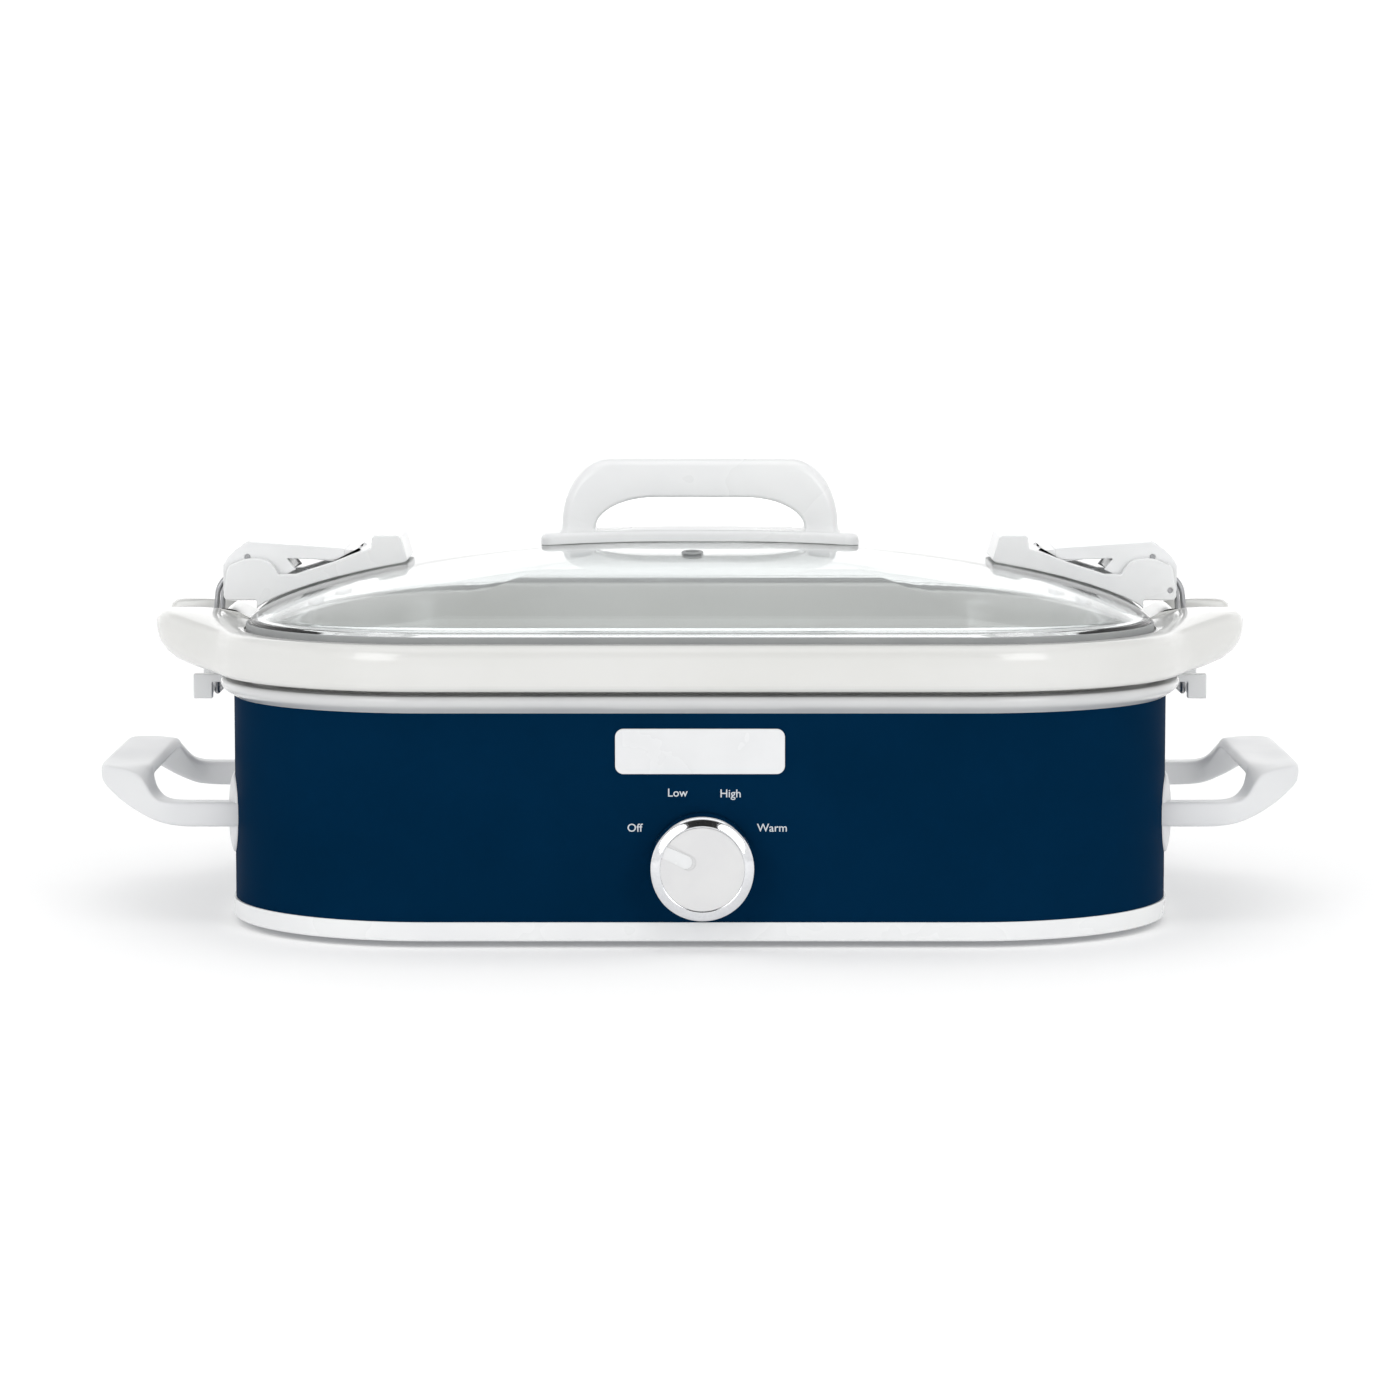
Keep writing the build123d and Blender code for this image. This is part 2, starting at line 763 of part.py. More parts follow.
def make_side_handle():
    profile = front_prism(handle_profile(), body_depth / 2)
    plan = Pos(0, 0, arm_low - 1) * extrude(handle_plan(), grip_top - arm_low + 2)
    handle = profile & plan
    tip = half_length + handle_reach
    inner = half_length + grip_inner_reach
    finger_room = polygon(
        (inner - 12, arm_low - 5),
        (inner - 12, grip_top - grip_lip),
        (inner - 1.8, grip_top - grip_lip),
        (inner + 8, grip_top - 7.0),
        (tip - 5.5, grip_top - 12.5),
        (tip - 5.5, arm_low - 5),
    )
    handle -= front_prism(finger_room, grip_width / 2 - 7)
    handle -= slab(-pad_thickness, arm_low - 5, grip_top + 5)
    for y in (-arm_spacing / 2, arm_spacing / 2):
        handle -= rod_along_x(
            y, (arm_low + arm_high) / 2, handle_screw_radius, half_length - 15, handle_screw_tip() + 1
        )
    return handle


def handle_screw_tip():
    return half_length + pad_thickness + handle_screw_reach


def make_handle_screws():
    screws = []
    z = (arm_low + arm_high) / 2
    head_end = half_length - 4.0
    for y in (-arm_spacing / 2, arm_spacing / 2):
        screw = rod_along_x(y, z, handle_screw_radius, head_end, handle_screw_tip())
        screw += rod_along_x(y, z, handle_screw_head_radius, head_end - handle_screw_head_height, head_end)
        screws += [screw, Rot(0, 0, 180) * screw]
    return screws


# ---------------------------------------------------------------- crock
def ear_profile():
    """An ear seen from the front: rising land, blunt tip and hollowed underside."""
    side = half_length
    high = rim_high + ear_rise
    tip = side + ear_reach
    points = [(side - 40, rim_low), (side + 9, rim_low)]
    under = Spline(
        (side + 9, rim_low), (side + 24, rim_low + 6.0), (side + 31, rim_low + 11.8), (tip, rim_high - 1.2),
        tangents=((1, 0), (0.45, 1)),
    )
    nose = Spline((tip, rim_high - 1.2), (tip - 1.6, high - 1.6), (tip - 6.0, high), tangents=((0.05, 1), (-1, 0)))
    land = Polyline((tip - 6.0, high), (side + 10, high), (side - 3, rim_high), (side - 40, rim_high), points[0])
    return make_face(Line(*points) + under + nose + land)


def ear_plan():
    side = half_length
    root = side - 10
    tip = side + ear_reach + 1
    face = polygon(
        (side - 45, -ear_root_half_width - 8),
        (root, -ear_root_half_width),
        (tip, -ear_tip_half_width),
        (tip, ear_tip_half_width),
        (root, ear_root_half_width),
        (side - 45, ear_root_half_width + 8),
    )
    corners = face.vertices().filter_by(lambda v: v.X > side)
    return fillet(corners, 12)


def ear_end_view():
    """The ear seen from the side of the cooker: level in the middle, falling to the rim."""
    high = rim_high + ear_rise
    wide = ear_root_half_width + 10
    level = ear_tip_half_width + 2
    return polygon(
        (-wide, rim_low - 1), (-wide, rim_high), (-level, high), (level, high), (wide, rim_high), (wide, rim_low - 1)
    )


def make_ear():
    profile = front_prism(ear_profile(), ear_root_half_width + 12)
    plan = Pos(0, 0, rim_low - 2) * extrude(ear_plan(), rim_height + ear_rise + 4)
    end = Pos(half_length - 45, 0, 0) * extrude(Plane.YZ * ear_end_view(), 100)
    ear = profile & plan & end
    notch_x = half_length + rim_overhang
    return ear - block((notch_x, notch_x + 60), (-ear_notch / 2, ear_notch / 2), (rim_low - 5, rim_high + 20))


def make_bowl():
    outer = loft([Pos(0, 0, bowl_low) * outline(bowl_bottom_inset), Pos(0, 0, rim_low + 1) * outline(bowl_top_inset)])
    return fillet(outer.edges().group_by(Axis.Z)[0], bowl_outer_fillet)


def make_cavity():
    wall = bowl_wall
    low = Pos(0, 0, cavity_low) * outline(bowl_bottom_inset + wall)
    high = Pos(0, 0, rim_high + 1) * outline(bowl_top_inset + wall)
    return fillet(loft([low, high]).edges().group_by(Axis.Z)[0], bowl_inner_fillet)


def make_crock():
    rim = slab(-rim_overhang, rim_low, rim_high)
    ends = rim.edges().group_by(Axis.Z)
    rim = fillet(ends[0], rim_bottom_fillet)
    rim = fillet(rim.edges().group_by(Axis.Z)[-1], rim_top_fillet)
    land = ring_band(land_outer_inset, land_inner_inset, ring_high, rim_low + 1)
    ear = make_ear()
    crock = rim + land + make_bowl() + ear + Rot(0, 0, 180) * ear
    crock -= make_cavity()
    return crock - slab(lid_edge_inset - lid_edge_gap, lid_seat, rim_high + 20)


# ---------------------------------------------------------------- lid
def dome_height(share):
    """Height above the glass edge, at a share of the way from the middle to the edge."""
    return dome_rise * (1 - share**dome_fullness) ** dome_shoulder


def dome(inset, low, lift):
    """A solid under the domed face, its edge set in from the lid's edge and raised to low + lift."""
    sections = []
    for share in dome_shares:
        face = RectangleRounded(
            (lid_length - 2 * inset) * share, (lid_depth - 2 * inset) * share, (lid_corner - inset) * share
        )
        sections.append(Pos(0, 0, low + lift + dome_height(share)) * face)
    return loft(sections, ruled=True)


def raised_dome(lift):
    """The space under the glass's outer face, raised, for cutting what sits on the glass."""
    edge = RectangleRounded(lid_length - 2 * glass_inset, lid_depth - 2 * glass_inset, lid_corner - glass_inset)
    skirt = Pos(0, 0, glass_low - 5) * extrude(edge, glass_thickness + 5 + lift)
    return skirt + dome(glass_inset, glass_edge_high, lift)


def make_lid_glass():
    edge = RectangleRounded(lid_length - 2 * glass_inset, lid_depth - 2 * glass_inset, lid_corner - glass_inset)
    glass = Pos(0, 0, glass_low) * extrude(edge, glass_thickness)
    glass += dome(glass_inset, glass_edge_high, 0)
    glass -= dome(glass_inset + glass_flange, glass_low, 0)
    top = glass_edge_high + dome_rise + 5
    for side in (-1, 1):
        glass -= upright_rod(side * lid_screw_x, 0, lid_screw_radius + 0.4, glass_low, top)
        for x in latch_screw_x:
            glass -= upright_rod(side * x, 0, latch_screw_radius + 0.3, glass_low, top)
    return glass - vent_rod(vent_sleeve + seat_gap, -2 * glass_thickness, glass_thickness)


def make_lid_gasket():
    plan = RectangleRounded(lid_length, lid_depth, lid_corner)
    gasket = Pos(0, 0, lid_seat) * extrude(plan, gasket_height)
    gasket = fillet(gasket.edges().group_by(Axis.Z)[-1], 0.4)
    inner = RectangleRounded(
        lid_length - 2 * gasket_base_width, lid_depth - 2 * gasket_base_width, lid_corner - gasket_base_width
    )
    gasket -= Pos(0, 0, lid_seat - 1) * extrude(inner, gasket_height + 2)
    pocket = RectangleRounded(
        lid_length - 2 * gasket_wall, lid_depth - 2 * gasket_wall, lid_corner - gasket_wall
    )
    return gasket - Pos(0, 0, lid_seat + gasket_base) * extrude(pocket, gasket_height)


def glass_top(x, y):
    """Height of the glass's outer face where it is nearly level."""
    share = max(abs(x) / (lid_length / 2 - glass_inset), abs(y) / (lid_depth / 2 - glass_inset))
    return glass_edge_high + dome_height(share)


def vent_rod(radius, low, high):
    """A rod square to the glass at the vent, its ends measured from the glass's outer face."""
    place = Pos(vent_x, vent_y, glass_top(vent_x, vent_y)) * Rot(vent_tilt, 0, 0)
    return place * upright_rod(0, 0, radius, low, high)


def glass_underside(x, y):
    inset = glass_inset + glass_flange
    share = max(abs(x) / (lid_length / 2 - inset), abs(y) / (lid_depth / 2 - inset))
    return glass_low + dome_height(share)


def window_corner(x, z, start):
    return EllipticalCenterArc((x, z), window_corner_x, window_corner_z, start_angle=start, arc_size=90)


def lid_handle_window():
    """The finger opening: upright sides and flattened elliptical shoulders."""
    half = window_length / 2
    spring = window_top - window_corner_z
    low = spring - 14
    left = Line((-half, low), (-half, spring))
    left_corner = window_corner(window_corner_x - half, spring, 90)
    top = Line((window_corner_x - half, window_top), (half - window_corner_x, window_top))
    right_corner = window_corner(half - window_corner_x, spring, 0)
    right = Polyline((half, spring), (half, low), (-half, low))
    return make_face(left + left_corner + top + right_corner + right)


def make_lid_handle():
    seat = glass_top(0, 0)
    height = lid_handle_top - seat + 20
    outer = Pos(0, lid_handle_top - height / 2) * Rectangle(lid_handle_length, height)
    outer = fillet(outer.vertices().group_by(Axis.Y)[-1], lid_handle_shoulder)
    arch = front_prism(outer - lid_handle_window(), lid_handle_depth / 2)
    rounded = [e for e in arch.edges() if abs(abs(e.center().Y) - lid_handle_depth / 2) < 0.01]
    rounded = [e for e in rounded if e.center().Z > window_top - window_corner_z - 12]
    arch = fillet(rounded, lid_handle_fillet)
    plan = RectangleRounded(foot_plate_length, foot_plate_depth, foot_plate_corner)
    foot_plate = Pos(0, 0, seat - 12) * extrude(plan, 30)
    foot_plate &= dome(glass_inset, glass_edge_high, lid_fit + foot_plate_thickness)
    handle = arch + foot_plate
    reach = (-foot_plate_length, foot_plate_length)
    handle -= block(reach, (-foot_plate_depth, foot_plate_depth), (seat - lid_handle_top, seat - 10))
    handle -= raised_dome(lid_fit)
    for side in (-1, 1):
        handle -= upright_rod(side * lid_screw_x, 0, lid_screw_radius, seat - 12, seat + lid_screw_reach)
    return handle


def make_lid_handle_screws():
    screws = []
    for side in (-1, 1):
        x = side * lid_screw_x
        under = glass_underside(x, 0) - washer_thickness
        head = upright_rod(x, 0, lid_screw_head_radius, under - lid_screw_head_height, under)
        head = fillet(head.edges().group_by(Axis.Z)[0], 1.0)
        screws.append(head + upright_rod(x, 0, lid_screw_radius, under, glass_top(0, 0) + lid_screw_reach - 1))
    return screws


def make_lid_handle_washers():
    washers = []
    for side in (-1, 1):
        x = side * lid_screw_x
        high = glass_underside(x, 0) - seat_gap
        washer = upright_rod(x, 0, washer_radius, high - washer_thickness + seat_gap, high + 1.5)
        washer -= upright_rod(x, 0, lid_screw_radius + seat_gap, high - 5, high + 5)
        washers.append(washer & dome(glass_inset + glass_flange, glass_low, -seat_gap))
    return washers


def make_steam_vent():
    """A lined hole through the glass with a flange above and below."""
    high = lid_fit
    low = glass_underside(vent_x, vent_y) - glass_top(vent_x, vent_y) - lid_fit
    vent = vent_rod(vent_sleeve, low, high + 0.1)
    vent += vent_rod(vent_flange_radius, high, high + vent_flange_thickness)
    vent += vent_rod(vent_flange_radius, low - vent_flange_thickness, low)
    return vent - vent_rod(vent_bore, low - 3, high + 3)


# ---------------------------------------------------------------- latch
def bracket_profile():
    """A latch bracket seen from the front: tab, sloping rail and rounded cheek."""
    rail_start = glass_top(tab_end + 12, 0) + arm_rail
    rail_end = glass_top(cheek_start - 7, 0) + arm_rail
    low = glass_low - 4
    tab = Polyline(
        (tab_start, low), (tab_start, glass_top(tab_start, 0) + 0.8), (tab_start + 5.5, tab_top - 1.2),
        (tab_start + 7.0, tab_top), (tab_end - 1.5, tab_top), (tab_end, tab_top - 1.5), (tab_end, tab_top - 6.0),
        (tab_end + 4.0, tab_top - 7.0), (tab_end + 12.5, rail_start), (cheek_start - 7, rail_end),
        (cheek_start, rail_end - 0.2),
    )
    crown = Spline(
        (cheek_start, rail_end - 0.2), (cheek_start + 5, cheek_high - 0.8), (cheek_start + 11, cheek_high),
        (cheek_end - 1.5, cheek_high - 2.6), tangents=((0.5, 1), (1, -0.28)),
    )
    back = Polyline(
        (cheek_end - 1.5, cheek_high - 2.6), (cheek_end, cheek_high - 4.0), (cheek_end, cheek_low),
        (cheek_start + 9, cheek_low), (cheek_start + 9, low), (tab_start, low),
    )
    return make_face(tab + crown + back)


def latch_screw_seat(x):
    return glass_top(x - latch_screw_head_radius, 0) + lid_fit + latch_floor + 2 * seat_gap


def make_latch_bracket():
    half = latch_width / 2
    inner = half - cheek_wall
    bracket = front_prism(bracket_profile(), half)
    bracket -= raised_dome(lid_fit)
    pocket = block((tab_end + 1.5, cheek_end + 5), (-inner, inner), (glass_low, tab_top + 10))
    pocket -= raised_dome(lid_fit + latch_floor)
    bracket -= pocket
    bracket -= block((cheek_start + 9, cheek_end + 5), (-inner, inner), (glass_low, cheek_high + 5))
    for x in latch_screw_x:
        boss = upright_rod(x, 0, latch_screw_head_radius + 0.5, glass_low, latch_screw_seat(x) - seat_gap)
        bracket += boss - raised_dome(lid_fit)
        bracket -= upright_rod(x, 0, latch_screw_radius + seat_gap, glass_low, tab_top)
    return bracket - rod_along_y(hinge_x, hinge_z, hinge_pin_radius + 0.02, -half - 1, half - hinge_pin_sink)


def make_lever_pin():
    end = latch_width / 2 - hinge_pin_sink
    return rod_along_y(hinge_x, hinge_z, hinge_pin_radius, -end, end - 0.1)


def lever_profile():
    """The lever's side wall: a flat grip, a sloped back and a hub round the hinge pin."""
    r = lever_hub_radius
    top = Polyline(
        (hinge_x - r, hinge_z),
        (hinge_x - 17.5, hinge_z + 3.2),
        (hinge_x - 27.0, hinge_z + 8.4),
        (hinge_x - 23.0, lever_under),
        (lever_start, lever_under),
        (lever_start, lever_top - 0.8),
        (lever_start + 0.8, lever_top),
        (hinge_x - 7.4, lever_top),
        (hinge_x - 1.9, lever_top - 3.2),
        (hinge_x + 1.4, lever_top - 6.6),
        (hinge_x + r, hinge_z + 10.2),
        (hinge_x + r, hinge_z),
    )
    hub = CenterArc((hinge_x, hinge_z), r, 180, 180)
    return make_face(top + hub)


def lever_hollow():
    """What is cut out between the side walls, from below and behind the bail's pivot."""
    beyond = hinge_x + lever_hub_radius + 5
    plate_end = bail_pivot_x + lever_plate_overlap
    return polygon(
        (lever_start - 1, hinge_z - 10),
        (lever_start - 1, lever_under),
        (lever_start + 3, lever_under),
        (lever_start + 4.5, lever_top - lever_wall),
        (plate_end, lever_top - lever_wall),
        (plate_end, lever_top + 1),
        (beyond, lever_top + 1),
        (beyond, hinge_z - 10),
    )


def make_latch_lever():
    half = lever_width / 2
    lever = front_prism(lever_profile(), half)
    lever -= front_prism(lever_hollow(), half - lever_side_wall)
    lever -= rod_along_y(hinge_x, hinge_z, hinge_pin_radius + hinge_pin_fit, -half - 1, half + 1)
    return lever - rod_along_y(bail_pivot_x, bail_pivot_z, wire_radius + wire_fit, -half - 1, half + 1)


def make_wire_bail():
    """One bent wire: two pivot ends, two legs and the foot that the catch holds."""
    end = lever_width / 2 - 0.1
    half_path = [
        (bail_pivot_x, end, bail_pivot_z),
        (bail_pivot_x, bail_y, bail_pivot_z),
        (bail_pivot_x + bail_shoulder_out, bail_y, bail_pivot_z - bail_shoulder_drop),
        (bail_pivot_x + bail_knee_out, bail_y, bail_pivot_z - bail_knee_drop),
        (bail_foot_x, bail_y, bail_foot_z),
    ]
    mirrored = [(x, -y, z) for x, y, z in reversed(half_path)]
    path = FilletPolyline(*(half_path + mirrored), radius=wire_bend)
    section = Plane(origin=half_path[0], z_dir=(0, -1, 0)) * Circle(wire_radius)
    return sweep(section, path)


def make_latch_screws():
    screws = []
    for side in (-1, 1):
        for x in latch_screw_x:
            seat = latch_screw_seat(x)
            head = upright_rod(side * x, 0, latch_screw_head_radius, seat, seat + latch_screw_head_height)
            shank_low = glass_underside(x, 0) - latch_nut_thickness - 2.2
            screws.append(head + upright_rod(side * x, 0, latch_screw_radius, shank_low, seat))
    return screws


def make_latch_nuts():
    nuts = []
    for side in (-1, 1):
        for x in latch_screw_x:
            low = glass_underside(x, 0) - latch_nut_thickness - 1.6
            nut = upright_rod(side * x, 0, latch_nut_radius, low, low + latch_nut_thickness + 4)
            nut -= upright_rod(side * x, 0, latch_screw_radius + seat_gap / 2, low - 1, low + 12)
            nuts.append(nut & dome(glass_inset + glass_flange, glass_low, -seat_gap))
    return nuts


# ---------------------------------------------------------------- catch
def rivet_x():
    return half_length - catch_root / 2 + 1.0


def make_latch_catch():
    """The frame under an ear: the bail's foot hangs through it, inside a low lip."""
    half = catch_width / 2
    high = catch_low + catch_thickness
    lip_low = catch_low - catch_lip_drop
    lip_end = catch_lip_x + catch_lip_thickness
    catch = block((half_length - catch_root + 5.2, lip_end), (-half, half), (catch_low, high))
    catch += block((catch_lip_x - catch_cheek_reach, lip_end), (-half, half), (lip_low, high))
    opening = (-half + catch_arm, half - catch_arm)
    catch -= block((half_length + ring_overhang + 0.2, catch_lip_x), opening, (lip_low - 1, high + 1))
    catch -= block((catch_lip_x - 1, lip_end + 1), opening, (lip_low + catch_lip_height, high + 1))
    for y in (-rivet_y, rivet_y):
        catch -= upright_rod(rivet_x(), y, rivet_radius + seat_gap, catch_low - 1, high + 1)
    return catch


def make_catch_rivets():
    rivets = []
    for x, y in four_corners(rivet_x(), rivet_y):
        shank = upright_rod(x, y, rivet_radius, catch_low, ring_high - 0.1)
        rivets.append(shank + upright_rod(x, y, rivet_head_radius, catch_low - rivet_head_height, catch_low))
    return rivets


# ---------------------------------------------------------------- export
def save(name, shape):
    if isinstance(shape, list):
        shape = Compound(children=[s for s in shape])
    export_step(shape, f"parts/{name}.step")


def main():
    os.makedirs("parts", exist_ok=True)
    save("outer_shell", make_outer_shell())
    save("base_trim", make_base_trim())
    save("bottom_plate", make_bottom_plate())
    save("rubber_feet", make_rubber_feet())
    save("bottom_screws", make_bottom_screws())
    save("centre_standoff", make_centre_standoff())
    save("centre_screw", make_screw(0, 0, plate_low, 16))
    save("rim_ring", make_rim_ring())
    save("heating_well", make_heating_well())
    save("heater_band", make_heater_band())
    save("insulation_blanket", make_insulation())
    save("thermal_fuse", make_thermal_fuse())
    save("fuse_clip", make_fuse_clip())
    save("rotary_switch", make_rotary_switch())
    save("switch_nut", make_switch_nut())
    save("switch_shaft", make_switch_shaft())
    save("knob_body", make_knob_body())
    save("knob_face", make_knob_face())
    save("name_plate", make_name_plate())
    save("cord_gland", make_cord_gland())
    save("terminal_block", make_terminal_block())
    save("internal_leads", make_internal_leads())
    save("handle_screws", make_handle_screws())
    save("catch_rivets", make_catch_rivets())
    save("crock", make_crock())
    save("lid_glass", make_lid_glass())
    save("lid_gasket", make_lid_gasket())
    save("lid_handle", make_lid_handle())
    save("lid_handle_screws", make_lid_handle_screws())
    save("lid_handle_washers", make_lid_handle_washers())
    save("steam_vent", make_steam_vent())
    save("latch_screws", make_latch_screws())
    save("latch_nuts", make_latch_nuts())
    paired = {
        "side_handle": make_side_handle(),
        "handle_pad": make_handle_pad(),
        "latch_catch": make_latch_catch(),
        "latch_bracket": make_latch_bracket(),
        "lever_pin": make_lever_pin(),
        "latch_lever": make_latch_lever(),
        "wire_bail": make_wire_bail(),
    }
    for name, shape in paired.items():
        for side, piece in both_ends(shape).items():
            save(f"{name}_{side}", piece)


main()
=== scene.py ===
# %% [markdown]
# # A slow cooker with a latching glass lid
# The construction model gives every piece's place and every joint. This file dresses it: each
# visible piece gets the soft edges and the finish of the real one, and rides on the same bodies.
# Lengths in the text are millimetres, and Blender works in metres, so MM turns one into the other.

import math
import bmesh
import bpy
from mathutils import Matrix, Vector


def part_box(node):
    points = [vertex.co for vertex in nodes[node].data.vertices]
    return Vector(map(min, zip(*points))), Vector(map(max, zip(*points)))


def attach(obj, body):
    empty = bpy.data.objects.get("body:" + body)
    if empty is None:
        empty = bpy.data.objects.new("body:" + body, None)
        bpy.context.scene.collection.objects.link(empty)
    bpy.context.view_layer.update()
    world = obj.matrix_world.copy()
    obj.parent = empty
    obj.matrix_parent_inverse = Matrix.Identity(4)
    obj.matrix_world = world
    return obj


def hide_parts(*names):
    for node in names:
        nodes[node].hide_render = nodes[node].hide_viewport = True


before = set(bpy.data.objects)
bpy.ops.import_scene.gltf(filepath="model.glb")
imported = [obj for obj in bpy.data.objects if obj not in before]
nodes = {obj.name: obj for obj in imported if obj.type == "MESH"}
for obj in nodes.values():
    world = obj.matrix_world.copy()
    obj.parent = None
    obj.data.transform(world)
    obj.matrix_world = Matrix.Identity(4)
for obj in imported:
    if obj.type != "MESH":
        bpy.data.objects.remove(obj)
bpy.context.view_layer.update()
scene = bpy.context.scene
MM = 0.001

# %% [markdown]
# ## The camera
# The cooker is seen from straight in front and a little above, through a long lens, so that its
# sides hardly taper. Three numbers place such a camera: its distance, its height and its tilt.

# %% Camera
DISTANCE, HEIGHT, TILT_DOWN, LENS = 1.9605, 0.2892, 6.0, 121.2
camera_data = bpy.data.cameras.new("camera")
camera_data.lens = LENS
camera_data.sensor_width = 36.0
camera_data.clip_start = 0.05
camera_data.clip_end = 60.0
camera = bpy.data.objects.new("camera", camera_data)
scene.collection.objects.link(camera)
camera.location = (0.0, -DISTANCE, HEIGHT)
camera.rotation_euler = (math.radians(90.0 - TILT_DOWN), 0.0, 0.0)
scene.camera = camera
print("camera at", tuple(camera.location), "lens", camera_data.lens)

# %% [markdown]
# ## Helpers for every mesh
# Every piece is built with bmesh operators, and the same few steps come back all the time: turning
# the faces outwards, easing an edge, cutting across a mesh, spinning a profile and growing a loop
# of edges into the next one. Each of them is one function here.

# %% Mesh helpers
CREASE = 35.0
SIDES = {"left": -1.0, "right": 1.0}


def shaded(mesh):
    """Smooth shading, with a crease wherever two faces turn by more than CREASE degrees."""
    for polygon in mesh.polygons:
        polygon.use_smooth = True
    mesh.set_sharp_from_angle(angle=math.radians(CREASE))


def new_object(name, bm, material=None):
    """A mesh object at the origin, made from a bmesh, with smooth shading and its finish."""
    mesh = bpy.data.meshes.new(name)
    bm.to_mesh(mesh)
    bm.free()
    if "custom_normal" in mesh.attributes:
        mesh.attributes.remove(mesh.attributes["custom_normal"])
    if material:
        mesh.materials.append(material)
    shaded(mesh)
    obj = bpy.data.objects.new(name, mesh)
    scene.collection.objects.link(obj)
    return obj


def outward(bm):
    """Turns every face outwards."""
    bmesh.ops.recalc_face_normals(bm, faces=bm.faces[:])


def merged(bm, reach=1e-6):
    """Merges the points that lie in the same place."""
    bmesh.ops.remove_doubles(bm, verts=bm.verts[:], dist=reach)


def turned(bm, degrees, axis, centre=(0, 0, 0)):
    """Turns a whole mesh about an axis through a point."""
    turn = Matrix.Rotation(math.radians(degrees), 3, axis)
    bmesh.ops.rotate(bm, verts=bm.verts[:], cent=centre, matrix=turn)


def eased(bm, geom, width, segments=2, affect="EDGES", **more):
    """Rounds edges, or the corners of a face, by a width in metres."""
    bmesh.ops.bevel(
        bm, geom=geom, offset=width, offset_type="OFFSET", affect=affect, segments=segments,
        profile=0.5, material=-1, **more,
    )


def cut(bm, point, across):
    """Cuts all faces along a plane, so that the mesh can bend there."""
    everything = bm.verts[:] + bm.edges[:] + bm.faces[:]
    bmesh.ops.bisect_plane(bm, geom=everything, plane_co=point, plane_no=across, dist=1e-7)


def points_of(made):
    """The points among the parts that an operator made."""
    return [part for part in made["geom"] if isinstance(part, bmesh.types.BMVert)]


def once(parts):
    """Each part once, in the order in which it came, so that every run does the same."""
    return list(dict.fromkeys(parts))


def rectangle(bm, length, depth):
    """One flat face at the origin. Returns its four points."""
    verts = bmesh.ops.create_grid(bm, x_segments=1, y_segments=1, size=0.5)["verts"]
    bmesh.ops.scale(bm, vec=(length, depth, 1.0), verts=verts)
    return verts


def opened(bm):
    """Takes the largest face away and returns the loop of edges round it."""
    face = max(bm.faces, key=lambda f: len(f.verts))
    edges = list(face.edges)
    bmesh.ops.delete(bm, geom=[face], context="FACES_ONLY")
    return edges


def grown(bm, edges):
    """Extrudes a loop of edges. Returns the new loop, and the new point beside each old one."""
    made = bmesh.ops.extrude_edge_only(bm, edges=edges)
    fresh = set(points_of(made))
    loop = [e for e in made["geom"] if isinstance(e, bmesh.types.BMEdge) and set(e.verts) <= fresh]
    beside = {
        old: next(e.other_vert(old) for e in old.link_edges if e.other_vert(old) in fresh)
        for edge in edges for old in edge.verts
    }
    return loop, beside


def spun(bm, points, steps, axis=(0, 0, 1), centre=(0, 0, 0)):
    """Joins points with edges and spins them once round an axis."""
    verts = [bm.verts.new(point) for point in points]
    edges = [bm.edges.new(pair) for pair in zip(verts, verts[1:])]
    bmesh.ops.spin(
        bm, geom=verts + edges, cent=centre, axis=axis, angle=math.tau, steps=steps, use_merge=True
    )
    merged(bm)
    outward(bm)


print("creases above", CREASE, "degrees")

# %% [markdown]
# ## A white studio
# Small white things show best in a cove: a pale floor that curves up into a pale wall all
# round, so that no horizon shows and every glossy face has something even to reflect. The cove is
# a profile spun once round the vertical axis. Like a light table, it also glows a little by itself,
# which lifts the undersides. Broad area lights above it stay soft.

# %% Cove
WHITE = (1.0, 1.0, 1.0, 1.0)
FLOOR, WALL_CURVE, WALL_TOP = 4.2, 1.6, 3.2


def plain_material(name, settings):
    """A material that is only a shader with a few values."""
    material = bpy.data.materials.new(name)
    material.use_nodes = True
    for label, value in settings.items():
        material.node_tree.nodes["Principled BSDF"].inputs[label].default_value = value
    return material


cove_profile = [(0.0, 0.0), (1.5, 0.0), (FLOOR, 0.0)]
cove_profile += [
    (FLOOR + WALL_CURVE * math.sin(a), WALL_CURVE - WALL_CURVE * math.cos(a))
    for a in [n * math.pi / 24 for n in range(1, 13)]
]
cove_profile += [(FLOOR + WALL_CURVE, WALL_TOP)]
cove_mesh = bmesh.new()
spun(cove_mesh, [(x, 0.0, z) for x, z in cove_profile], 96)
cove = new_object("studio_cove", cove_mesh)
cove.data.materials.append(plain_material("cove_paint", {
    "Base Color": (0.93, 0.93, 0.93, 1.0), "Roughness": 0.8, "Specular IOR Level": 0.1,
    "Emission Color": WHITE, "Emission Strength": 0.15,
}))
print("cove faces:", len(cove.data.polygons))

# %% [markdown]
# A chrome ring in an all-white room looks white and flat. A black card that hangs where the ring
# can see it draws the dark crescent that makes chrome read as chrome. It hangs well behind the
# camera and above it, so that nothing else is shaded by it.

# %% Black card
card_mesh = bmesh.new()
card_corners = rectangle(card_mesh, 2.7, 1.9)
turned(card_mesh, -118.0, "X")
bmesh.ops.translate(card_mesh, vec=(0.0, -2.75, 1.95), verts=card_corners)
card = new_object("black_card", card_mesh)
card.data.materials.append(plain_material("card_cloth", {
    "Base Color": (0.012, 0.012, 0.012, 1.0), "Roughness": 0.95,
}))
heights = [vert.co.z for vert in card.data.vertices]
print("card at height", round(min(heights), 2), "to", round(max(heights), 2))

